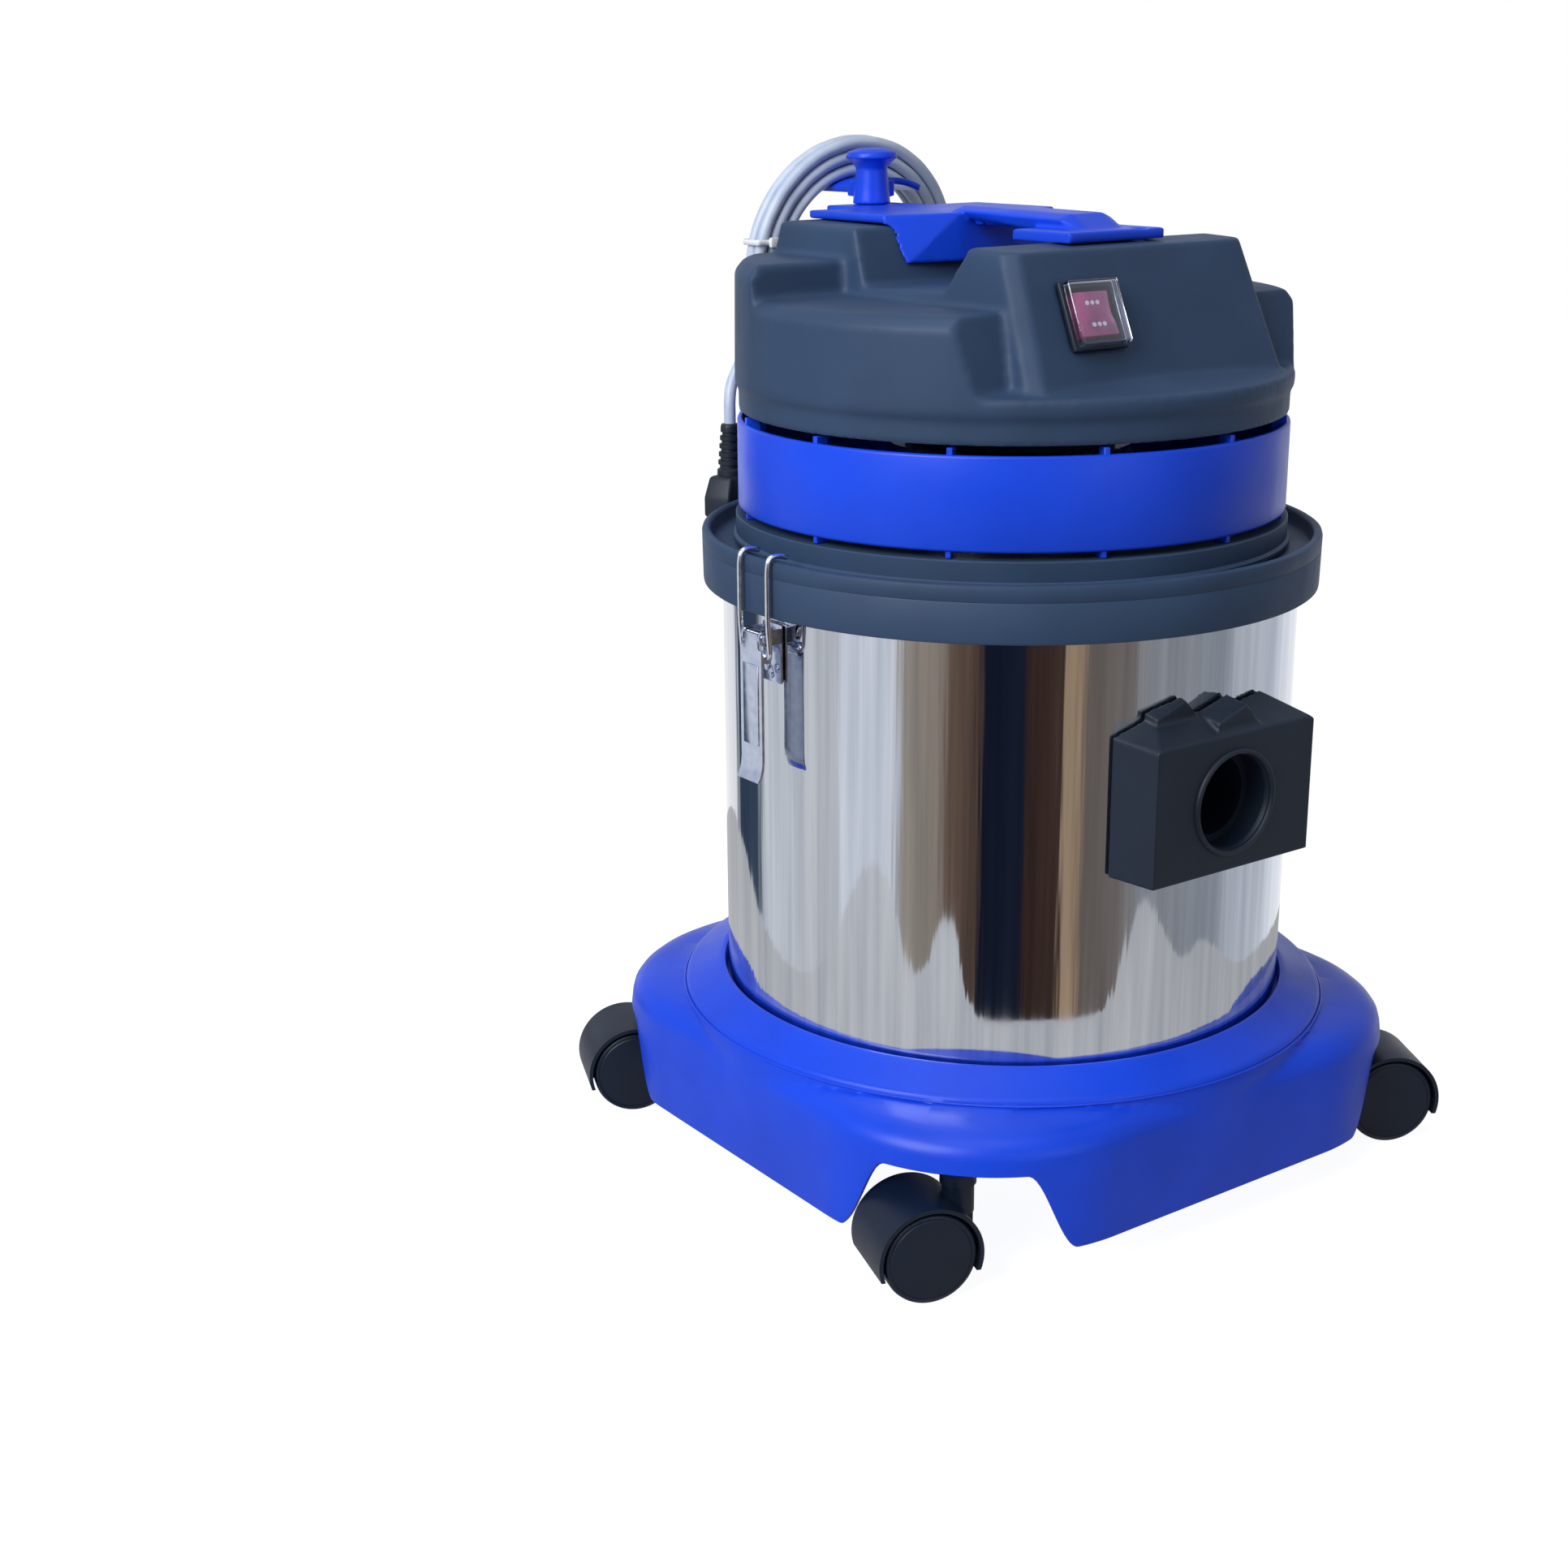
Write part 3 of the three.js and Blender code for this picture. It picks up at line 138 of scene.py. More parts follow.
def noise(tree, place, size_mm, detail=2.0, stretch=None, seed=0.0):
    """Noise whose blobs are about size_mm across, stretched along an axis if asked."""
    if stretch:
        squeeze = {"Vector": place, "Scale": [1 / s for s in stretch]}
        place = add_node(tree, "Mapping", squeeze).outputs[0]
    inputs = {"Vector": place, "W": seed, "Scale": 1000 / size_mm, "Detail": detail}
    return add_node(tree, "TexNoise", inputs, noise_dimensions="4D").outputs["Fac"]


def between(tree, fac, low, high):
    """Maps a 0..1 pattern, which keeps mostly to 0.3..0.7, on to low..high."""
    inputs = {"Value": fac, "From Min": 0.3, "From Max": 0.7, "To Min": low, "To Max": high}
    return add_node(tree, "MapRange", inputs).outputs["Result"]


def toned(tree, fac, dark, light):
    """A colour that wanders between two sRGB hex colours with a pattern."""
    ramp = add_node(tree, "ValToRGB", {"Fac": fac})
    for stop, at, code in zip(ramp.color_ramp.elements, (0.3, 0.7), (dark, light)):
        stop.position, stop.color = at, linear(code)
    return ramp.outputs["Color"]


def bumped(tree, height, depth_mm, strength=1.0):
    inputs = {"Height": height, "Distance": depth_mm * MM, "Strength": strength}
    return add_node(tree, "Bump", inputs).outputs["Normal"]


def moulded(name, dark, light, rough, grain_mm, depth_mm, ior=1.49):
    """Moulded plastic: a fine spark-eroded grain, and tone and gloss that drift slowly."""
    material, tree, place = begun(name)
    return finished(material, {
        "IOR": ior,
        "Specular IOR Level": 0.3,
        "Base Color": toned(tree, noise(tree, place, 60, 4), dark, light),
        "Roughness": between(tree, noise(tree, place, 24, 3, seed=2.0), rough - 0.05, rough + 0.05),
        "Normal": bumped(tree, noise(tree, place, grain_mm, 3, seed=4.0), depth_mm),
    })


def metal(name, dark, light, rough, size_mm, stretch, depth_mm):
    """Bare metal: reflection broken by the marks of how it was made."""
    material, tree, place = begun(name)
    marks = noise(tree, place, size_mm, 4, stretch)
    return finished(material, {
        "Metallic": 1.0,
        "Base Color": toned(tree, marks, dark, light),
        "Roughness": between(tree, marks, rough - 0.05, rough + 0.05),
        "Normal": bumped(tree, noise(tree, place, size_mm * 1.7, 2, stretch, 3.0), depth_mm),
    })


def make_materials():
    """Every finish on the machine, by a short key."""
    looks = bpy.context.scene.canister_looks

    def shade(colour, factor):
        return "#" + "".join(f"{min(255, round(c * 255 * factor)):02x}" for c in colour)

    def tones(colour, low, high):
        return shade(colour, low), shade(colour, high)

    blue, slate = tones(looks.blue_plastic, 0.95, 1.04), tones(looks.slate_plastic, 0.93, 1.07)
    made = {
        # polypropylene, injection moulded: a soft satin sheen over a saturated blue
        "blue": moulded("polypropylene_blue_satin", *blue, 0.36, 1.1, 0.012),
        # the same resin with a fine leather grain: it scatters light into a dusty slate
        "slate": moulded("polypropylene_slate_matt", *slate, 0.55, 0.9, 0.03),
        # polyamide caster hoods and treads: near black, slightly waxy
        "nylon": moulded("polyamide_black_caster", "#081323", "#0c1a2e", 0.4, 0.8, 0.015),
        # ABS: a black with some blue in it, and a fine grain that takes the edge off its shine
        "abs": moulded("abs_black_grained", "#0f1826", "#152131", 0.48, 0.8, 0.025, 1.53),
        # EPDM rubber: dead black, no shine
        "rubber": moulded("epdm_rubber_black", "#0d0d0e", "#141416", 0.85, 0.6, 0.03, 1.52),
        # plug PVC: dull black that lights up softly at its edges
        "pvc_black": moulded("pvc_black_plug", "#10161f", "#182130", 0.5, 0.7, 0.02, 1.53),
        # unpigmented polypropylene: milky white, half matt
        "white": moulded("polypropylene_natural_white", "#dfe1e4", "#ecedef", 0.45, 1.5, 0.01),
        # pad-printed ink: a flat white, a little warmer than the plastics
        "ink": moulded("pad_print_white", "#e8e4ee", "#f7f4fb", 0.4, 0.5, 0.002),
        # bright zinc: a cool bluish plate with cloudy spangle
        "zinc": metal("steel_bright_zinc_plated", "#c3cbe0", "#dfe4f2", 0.2, 5.0, None, 0.0006),
        # nickel-plated spring wire: narrow bright lines along its length
        "spring": metal("spring_steel_wire_nickel", "#d3d8e4", "#eef1f7", 0.16, 4.0, None, 0.0004),
        # enamelled copper: warm red-brown, broken up by the windings
        "copper": metal("copper_wire_enamelled", "#8a4524", "#b4683a", 0.35, 1.2, (1, 1, 6), 0.05),
    }
    # stainless sheet, rolled and mirror polished: slow vertical waves bend what it reflects
    material, tree, place = begun("stainless_steel_mirror_rolled")
    haze = noise(tree, place, 5, 4, (1, 1, 40))
    waves = noise(tree, place, 70, 1.5, (1, 1, 2.6), 1.0)
    fine = noise(tree, place, 11, 3, (1, 1, 26), 6.0)
    both = add_node(tree, "Math", {0: fine, 1: 0.3, 2: waves}, operation="MULTIPLY_ADD")
    made["steel"] = finished(material, {
        "Metallic": 1.0,
        "Base Color": toned(tree, haze, "#c2c6cd", "#e2e4e7"),
        "Roughness": between(tree, haze, 0.035, 0.085),
        "Normal": bumped(tree, both.outputs[0], 1.5, 0.55),
    })
    # flexible grey PVC sheath: a soft sheen and a faint lay of the cores under it
    material, tree, place = begun("pvc_cord_pale_grey")
    smudge = noise(tree, place, 18, 3)
    made["cord"] = finished(material, {
        "IOR": 1.53,
        "Base Color": toned(tree, smudge, "#a9b7d0", "#c6d0e2"),
        "Roughness": between(tree, smudge, 0.34, 0.46),
        "Normal": bumped(tree, noise(tree, place, 6, 1), 0.08),
    })
    # needled polyester: a fibrous cream cloth, drawn coarse enough to show
    material, tree, place = begun("polyester_needle_felt")
    fibre = noise(tree, place, 1.8, 5)
    made["felt"] = finished(material, {
        "IOR": 1.55,
        "Sheen Weight": 0.4,
        "Base Color": toned(tree, fibre, "#bdb6a3", "#e2dccb"),
        "Roughness": 0.95,
        "Normal": bumped(tree, fibre, 0.5),
    })
    # clear plasticised PVC: see-through, with a faint violet cast and a soft ripple
    material, tree, place = begun("pvc_clear_flexible")
    made["clear"] = finished(material, {
        "IOR": 1.53,
        "Transmission Weight": 1.0,
        "Base Color": linear("#f4f5ff"),
        "Roughness": 0.04,
        "Normal": bumped(tree, noise(tree, place, 9, 1), 0.03),
    })
    # tinted polycarbonate rocker, glossy, with depth in its colour
    material, tree, place = begun("polycarbonate_wine_gloss")
    cloud = noise(tree, place, 9, 3)
    made["wine"] = finished(material, {
        "IOR": 1.58,
        "Coat Weight": 0.5,
        "Base Color": toned(tree, cloud, "#8c2560", "#c0447e"),
        "Roughness": 0.16,
        "Normal": bumped(tree, cloud, 0.05),
    })
    return made


# ---------- shapes ----------
def spun(profile, steps=144, place=None):
    """Turns [radius, height] pairs round Z. A profile off the axis is closed on itself."""
    bm = bmesh.new()
    verts = [bm.verts.new((r, 0, z)) for r, z in profile]
    edges = [bm.edges.new(pair) for pair in zip(verts, verts[1:])]
    if profile[0][0] > 0:
        edges.append(bm.edges.new((verts[-1], verts[0])))
    bmesh.ops.spin(
        bm, geom=verts + edges, axis=(0, 0, 1), cent=(0, 0, 0), steps=steps, angle=TURN, use_merge=True
    )
    bmesh.ops.remove_doubles(bm, verts=bm.verts, dist=1e-4)
    bmesh.ops.recalc_face_normals(bm, faces=bm.faces)
    return moved(bm, place)


def moved(bm, place):
    if place is not None:
        bmesh.ops.transform(bm, matrix=place, verts=bm.verts)
    return bm


def softened(bm, width, segments=2, sharper_than=30):
    """Rounds the edges that turn by more than an angle."""
    limit = math.radians(sharper_than)
    edges = [e for e in bm.edges if len(e.link_faces) == 2 and e.calc_face_angle() > limit]
    bmesh.ops.bevel(
        bm, geom=edges, offset=width, segments=segments, profile=0.5, affect="EDGES", material=-1,
        clamp_overlap=True,
    )
    return bm


def block(x0, x1, y0, y1, z0, z1, edge=0.0, place=None, segments=2):
    bm = bmesh.new()
    bmesh.ops.create_cube(bm, size=1)
    bmesh.ops.scale(bm, vec=(x1 - x0, y1 - y0, z1 - z0), verts=bm.verts)
    bmesh.ops.translate(bm, vec=((x0 + x1) / 2, (y0 + y1) / 2, (z0 + z1) / 2), verts=bm.verts)
    if edge:
        softened(bm, edge, segments)
    return moved(bm, place)


def rod(axis, radius, start, end, at=(0, 0, 0), sides=48, edge=0.0, tip=None, place=None):
    """A round bar along X, Y or Z, or a cone when it has a tip radius."""
    bm = bmesh.new()
    tip = radius if tip is None else tip
    bmesh.ops.create_cone(
        bm, cap_ends=True, segments=sides, radius1=radius, radius2=tip, depth=end - start
    )
    bmesh.ops.translate(bm, vec=(0, 0, (start + end) / 2), verts=bm.verts)
    turn = {"x": ("Y", 90), "y": ("X", -90), "z": ("Z", 0)}[axis]
    moved(bm, turned(*turn))
    bmesh.ops.translate(bm, vec=at, verts=bm.verts)
    if edge:
        softened(bm, edge, 2, 60)
    return moved(bm, place)


def prism(outline, start, end, along="x", place=None):
    """An outline of two of the axes, pushed along the third."""
    bm = bmesh.new()
    spots = {
        "x": lambda a, b: (start, a, b), "y": lambda a, b: (a, start, b),
        "z": lambda a, b: (a, b, start),
    }[along]
    verts = [bm.verts.new(spots(a, b)) for a, b in outline]
    edges = [bm.edges.new(pair) for pair in zip(verts, verts[1:] + verts[:1])]
    bmesh.ops.edgeloop_fill(bm, edges=edges)
    pushed = bmesh.ops.extrude_face_region(bm, geom=list(bm.faces))
    step = Vector(spots(0, 0)) * 0
    step["xyz".index(along)] = end - start
    fresh = [g for g in pushed["geom"] if isinstance(g, bmesh.types.BMVert)]
    bmesh.ops.translate(bm, vec=step, verts=fresh)
    bmesh.ops.recalc_face_normals(bm, faces=bm.faces)
    return moved(bm, place)


def hulled(points, edge=0.0, place=None, segments=3):
    """The convex block through a set of corners."""
    bm = bmesh.new()
    for p in points:
        bm.verts.new(p)
    bmesh.ops.convex_hull(bm, input=list(bm.verts))
    inside = [v for v in bm.verts if not v.link_faces]
    bmesh.ops.delete(bm, geom=inside, context="VERTS")
    bmesh.ops.dissolve_limit(bm, angle_limit=0.02, verts=bm.verts, edges=bm.edges)
    bmesh.ops.recalc_face_normals(bm, faces=bm.faces)
    if edge:
        softened(bm, edge, segments, 20)
    return moved(bm, place)


def joined(*parts):
    """Several shapes in one, left as separate shells."""
    whole = parts[0]
    for part in parts[1:]:
        mesh = bpy.data.meshes.new("part")
        part.to_mesh(mesh)
        part.free()
        whole.from_mesh(mesh)
        bpy.data.meshes.remove(mesh)
    return whole


def taken(holder):
    """An object's shape with its modifiers applied."""
    bpy.context.view_layer.update()
    seen = holder.evaluated_get(bpy.context.evaluated_depsgraph_get())
    mesh = bpy.data.meshes.new_from_object(seen)
    bm = bmesh.new()
    bm.from_mesh(mesh)
    bpy.data.meshes.remove(mesh)
    return bm


def carved(body, *steps, voxel=0.0, relax=0):
    """Adds, cuts or keeps the overlap with other shapes in turn, then melts it into one if asked."""
    loose = []
    for bm in [body] + [step[1] for step in steps]:
        mesh = bpy.data.meshes.new("stock")
        bm.to_mesh(mesh)
        bm.free()
        stock = bpy.data.objects.new("stock", mesh)
        bpy.context.scene.collection.objects.link(stock)
        loose.append(stock)
    for (operation, _), cutter in zip(steps, loose[1:]):
        tool = loose[0].modifiers.new("carve", "BOOLEAN")
        tool.operation, tool.solver, tool.object = operation, "EXACT", cutter
    if voxel:
        melt = loose[0].modifiers.new("melt", "REMESH")
        melt.mode, melt.voxel_size = "VOXEL", voxel
        if relax:
            ease = loose[0].modifiers.new("ease", "SMOOTH")
            ease.factor, ease.iterations = 0.5, relax
    whole = taken(loose[0])
    for stock in loose:
        bpy.data.meshes.remove(stock.data)
    return whole


CUT, ADD, KEEP = "DIFFERENCE", "UNION", "INTERSECT"


def melted(parts, cuts, voxel, relax):
    """Overlapping shapes, all cut alike, then melted into one with rounded edges."""
    shaped = [carved(part, *((CUT, cut.copy()) for cut in cuts)) for part in parts]
    for cut in cuts:
        cut.free()
    return carved(joined(*shaped), voxel=voxel, relax=relax)


def copied(bm, place):
    return moved(bm.copy(), place)


def curved(name, points, radius_mm, kind, resolution):
    """A round wire or cord through points in millimetres, as a curve object in the scene."""
    curve = bpy.data.curves.new(name, "CURVE")
    curve.dimensions, curve.use_fill_caps = "3D", True
    curve.bevel_depth, curve.bevel_resolution = radius_mm * MM, resolution
    spline = curve.splines.new(kind)
    knots = spline.bezier_points if kind == "BEZIER" else spline.points
    knots.add(len(points) - 1)
    for knot, p in zip(knots, points):
        if kind == "BEZIER":
            knot.co = Vector(p) * MM
            knot.handle_left_type = knot.handle_right_type = "AUTO"
        else:
            knot.co = (*(Vector(p) * MM), 1)
    made = bpy.data.objects.new(name, curve)
    bpy.context.scene.collection.objects.link(made)
    return made


def wire(points, radius, rounding=3.0):
    """A bent wire as a shape: its corners are rounded first."""
    holder = curved("wire", rounded_path(points, rounding), radius, "POLY", 6)
    bm = taken(holder)
    bpy.data.curves.remove(holder.data)
    bmesh.ops.scale(bm, vec=(1 / MM,) * 3, verts=bm.verts)
    bmesh.ops.remove_doubles(bm, verts=bm.verts, dist=1e-4)
    bmesh.ops.recalc_face_normals(bm, faces=bm.faces)
    return bm


def rounded_path(points, radius, steps=6):
    """The same path with each corner turned into a short arc-like bend."""
    points = [Vector(p) for p in points]
    path = [points[0]]
    for before, corner, after in zip(points, points[1:], points[2:]):
        way_in, way_out = corner - before, after - corner
        reach = min(radius, way_in.length / 2.05, way_out.length / 2.05)
        a, b = corner - way_in.normalized() * reach, corner + way_out.normalized() * reach
        for i in range(steps + 1):
            t = i / steps
            path.append(a.lerp(corner, t).lerp(corner.lerp(b, t), t))
    return path + [points[-1]]


def piece(bm, name, look, body, node=None, sharp=32, edge=0.0):
    """Turns a shape in millimetres into a finished piece that rides on a body."""
    bmesh.ops.scale(bm, vec=(MM,) * 3, verts=bm.verts)
    mesh = bpy.data.meshes.new(name)
    bm.to_mesh(mesh)
    bm.free()
    mesh.materials.append(finishes[look])
    mesh.shade_smooth()
    mesh.set_sharp_from_angle(angle=math.radians(sharp))
    made = bpy.data.objects.new(name, mesh)
    bpy.context.scene.collection.objects.link(made)
    if edge:
        rim = made.modifiers.new("edge", "BEVEL")
        rim.width, rim.segments, rim.limit_method = edge * MM, 2, "ANGLE"
        rim.angle_limit = math.radians(sharp)
        rim.harden_normals = True
    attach(made, body)
    if node:
        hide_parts(node)
    return made


finishes = {}


# ---------- trolley ----------
def square_reach(half, corner, angle):
    """How far the rounded square goes from its middle, in one direction."""
    c, s = abs(math.cos(angle)), abs(math.sin(angle))
    core = half - corner
    side = half / max(c, s)
    if side * min(c, s) <= core:
        return side
    along = core * (c + s)
    return along + math.sqrt(max(along * along - 2 * core * core + corner * corner, 0))


def foot_height(angle):
    """The base's lower edge, which arches over each caster."""
    reach = square_reach(BASE_HALF, BASE_CORNER, angle)
    best = BASE_FOOT
    for _, sx, sy, _ in CASTERS:
        off = angle - math.atan2(sy * CASTER_Y, sx * CASTER_X)
        if math.cos(off) < 0.5:
            continue
        t = min(max((abs(reach * math.sin(off)) - ARCH_HALF) / ARCH_FADE, 0), 1)
        best = max(best, ARCH_TOP - (ARCH_TOP - BASE_FOOT) * t * t * (3 - 2 * t))
    return best


def ring_loft(levels, segments):
    """A closed tube of rings: each level gives a reach and a height for every direction."""
    bm = bmesh.new()
    made = bmesh.ops.create_circle(bm, segments=segments, radius=1)
    verts = made["verts"]
    edges = list(bm.edges)

    def settle(ring, level):
        for v in ring:
            angle = math.atan2(v.co.y, v.co.x)
            reach, height = level(angle)
            v.co = (reach * math.cos(angle), reach * math.sin(angle), height)

    settle(verts, levels[0])
    for level in levels[1:] + levels[:1]:
        grown = bmesh.ops.extrude_edge_only(bm, edges=edges)["geom"]
        edges = [g for g in grown if isinstance(g, bmesh.types.BMEdge)]
        settle([g for g in grown if isinstance(g, bmesh.types.BMVert)], level)
    bmesh.ops.remove_doubles(bm, verts=bm.verts, dist=1e-4)
    bmesh.ops.recalc_face_normals(bm, faces=bm.faces)
    return bm


class CANISTER_OT_trolley(bpy.types.Operator):
    """Moulded base with arches over its casters and a recess for the tank"""

    bl_idname = "canister.trolley"
    bl_label = "Trolley Base"

    def execute(self, context):
        def wall(inset, part, lift=0.0):
            def level(angle):
                foot = foot_height(angle)
                return (
                    square_reach(BASE_HALF - inset, BASE_CORNER - inset, angle),
                    foot + (SHOULDER - foot) * part + lift,
                )

            return level

        def top(inset, corner, least, height):
            size = BASE_HALF - inset, BASE_CORNER - corner
            return lambda a: (max(square_reach(*size, a), least), height)

        def round_at(radius, height):
            return lambda a: (radius, height)

        levels = [
            wall(4, 0.0), wall(1.2, 0.0), wall(0.2, 0.0, 0.9), wall(0, 0.12), wall(0.4, 0.5),
            wall(0.9, 1.0), top(1.8, 1.6, 186.9, 78.5), top(3.8, 3, 186.8, 81.6),
            top(6.6, 4.6, 186.7, 84.2), top(10, 6.4, 186.5, 86.1), top(14, 8.4, 186.3, 87.4),
            top(20, 11, 186, 88.6), top(28, 15, 185.8, 89.7), round_at(185.6, 90.8),
            round_at(185.2, 92.6), round_at(184.2, 93.7), round_at(182.6, 94.4), round_at(167, 102.0),
            round_at(165, 103.2), round_at(163.6, 103.5), round_at(162.4, 103), round_at(162, 101.6),
            round_at(162, SEAT), round_at(118, SEAT), round_at(118, SEAT - 4), round_at(165, SEAT - 4),
            round_at(166, 96), round_at(181, 88.8), top(18, 11, 182.6, 83.4), top(8.5, 7, 182.8, 78),
            wall(5, 0.93), wall(4.6, 0.5),
        ]
        bm = ring_loft(levels, 720)
        bosses = []
        for _, sx, sy, _ in CASTERS:
            boss = [(5.1, 63), (10, 63), (11, 64.2), (11, 79), (5.1, 79)]
            bosses.append(spun(boss, 48, SHIFT((sx * CASTER_X, sy * CASTER_Y, 0))))
        # a raised bead runs along the step
        bead = spun([(186.1, 90.2), (186.9, 90.8), (186.1, 91.4)], 192)
        piece(joined(bm, bead, *bosses), "trolley_shell", "blue", "trolley", "trolley_base", 40)
        return {"FINISHED"}


class CANISTER_OT_casters(bpy.types.Operator):
    """Four hooded twin-wheel casters on their stems"""

    bl_idname = "canister.casters"
    bl_label = "Casters"

    def execute(self, context):
        half = 21.6
        hub = (TRAIL, 0, WHEEL_R)
        guard = 28.5  # outer radius of the hood
        arc = []
        for i in range(49):
            a = -0.3 + (math.pi + 0.65) * i / 48
            arc.append((TRAIL + math.cos(a) * guard, WHEEL_R + math.sin(a) * guard))
        hood = carved(
            prism(arc, -half, half, "y"), (ADD, rod("z", 8.5, 40, 60, sides=40)),
            (ADD, block(-7, 20, -4, 4, 33, 49)), (ADD, rod("z", 9.6, 56, 62.5, sides=40)),
            (CUT, rod("y", 26.3, 4, half + 1, hub, 96)), (CUT, rod("y", 26.3, -half - 1, -4, hub, 96)),
            (CUT, rod("y", 3.1, -8, 8, hub, 32)), (CUT, rod("z", 4.1, 47, 70, sides=32)),
        )
        tread = [
            (0, 4.4), (23.6, 4.4), (24.6, 4.8), (25, 6), (25, 18.6), (24.7, 19.8), (24, 20.6),
            (23.3, 20.9), (22.7, 20.5), (22.2, 20.4), (21.6, 20.9), (18, 21.15), (10, 21.3), (0, 21.3),
        ]
        axle_way = turned("X", -90)
        for name, sx, sy, heading in CASTERS:
            place = SHIFT((sx * CASTER_X, sy * CASTER_Y, 0)) @ turned("Z", heading)
            cap = copied(hood, place)
            piece(cap, f"caster_hood_{name}", "nylon", f"{name}_swivel", f"caster_{name}_hood", 28, 0.7)
            for side, mark in ((1, "a"), (-1, "b")):
                way = place @ SHIFT(hub) @ axle_way @ Matrix.Rotation(math.pi * (side < 0), 4, "X")
                disc, node = f"caster_disc_{name}_{mark}", f"caster_{name}_wheel_{mark}"
                piece(spun(tread, 96, way), disc, "nylon", f"{name}_wheels", node)
        hood.free()
        return {"FINISHED"}


class CANISTER_OT_tank(bpy.types.Operator):
    """Mirror-polished tank and the channel clipped over its top edge"""

    bl_idname = "canister.tank"
    bl_label = "Tank and Rim Channel"

    def execute(self, context):
        profile = [(0, 92), (150, 92), (155, 92.8), (158.6, 95.4), (159.8, 99), (TANK_R, 104)]
        profile += [(TANK_R, z) for z in (150, 200, 250, 300, 343)]
        profile += [(161.4, 345), (163.2, 345.6), (163.6, 347.4), (162.8, 348.8), (160.6, TANK_TOP)]
        profile += [(158.9, 348.2)]
        profile += [(158.8, z) for z in (300, 200, 104)]
        profile += [(158.4, 99.6), (157, 96.4), (153, 93.4), (0, 93.2)]
        shell = spun(profile, 256)
        hole = rod("y", 24.5, -200, -100, (0, 0, INLET_Z), 64)
        piece(carved(shell, (CUT, hole)), "tank_shell", "steel", "trolley", "tank", 24)
        channel = [
            (167.8, RIM_FOOT + 0.6), (168.2, RIM_FOOT), (169.6, RIM_FOOT), (170.4, RIM_FOOT + 0.6),
            (170.6, RIM_FOOT + 2), (170.9, 351.4), (170.5, 352.1), (170.9, 352.8), (RIM_R, 358.6),
            (170.5, 360.2), (169.4, RIM_TOP), (167.4, RIM_TOP), (166.4, 360.3), (165.9, 359),
            (165.4, 354.4), (164.4, GUTTER), (146, GUTTER), (146, 343.3), (149, 343.3), (149, 349.3),
            (167.8, 349.3),
        ]
        piece(spun(channel, 256), "rim_channel", "slate", "trolley", "rim_band", 40)
        return {"FINISHED"}


class CANISTER_OT_inlet(bpy.types.Operator):
    """Inlet housing with its hose socket and two wedge tabs"""

    bl_idname = "canister.inlet"
    bl_label = "Inlet Housing"

    def execute(self, context):
        low, high, front, half = INLET_Z - 36.5, INLET_Z + 36.5, -180, 56
        corners = []
        for side in (-1, 1):
            x, out = side * half, side * (half + 5)
            corners += [(x, front, low), (x, front, high - 1.5), (out, -140, low), (out, -140, high + 2)]
            corners += [(side * (half - 1.5), front, high), (side * (half - 27), -146, high + 18)]
        body = hulled(corners)

        def tab(x, y, z):
            lower = [(x + i, y + j, z - 6) for i in (-15, 15) for j in (-9, 9)]
            upper = [(x - 15, y - 9, z - 2), (x - 15, y + 9, z + 2)]
            upper += [(x + 5, y - 9, z + 5), (x + 5, y + 9, z + 8)]
            return hulled(lower + upper)

        lip = spun(
            [(24.9, -2), (26, 2.6), (27, 3.2), (28, 2.9), (28.6, 2), (28.8, -2)], 96,
            SHIFT((0, front + 1.4, INLET_Z)) @ turned("X", 90),
        )
        parts = [body, tab(-28, -156, high + 13), tab(4, -168, high + 8)]
        block_part = melted(parts, [rod("z", 161.5, 150, 330, sides=256)], 1.0, 4)
        neck = rod("y", 24.2, -166, -138, (0, 0, INLET_Z), 96)
        socket = rod("y", 25.5, -200, -164, (0, 0, INLET_Z), 96)
        bore = rod("y", 21.5, -200, -100, (0, 0, INLET_Z), 96)
        whole = carved(block_part, (ADD, neck), (CUT, socket), (CUT, bore))
        piece(joined(whole, lip), "inlet_block", "abs", "trolley", "inlet_housing", 50)
        return {"FINISHED"}


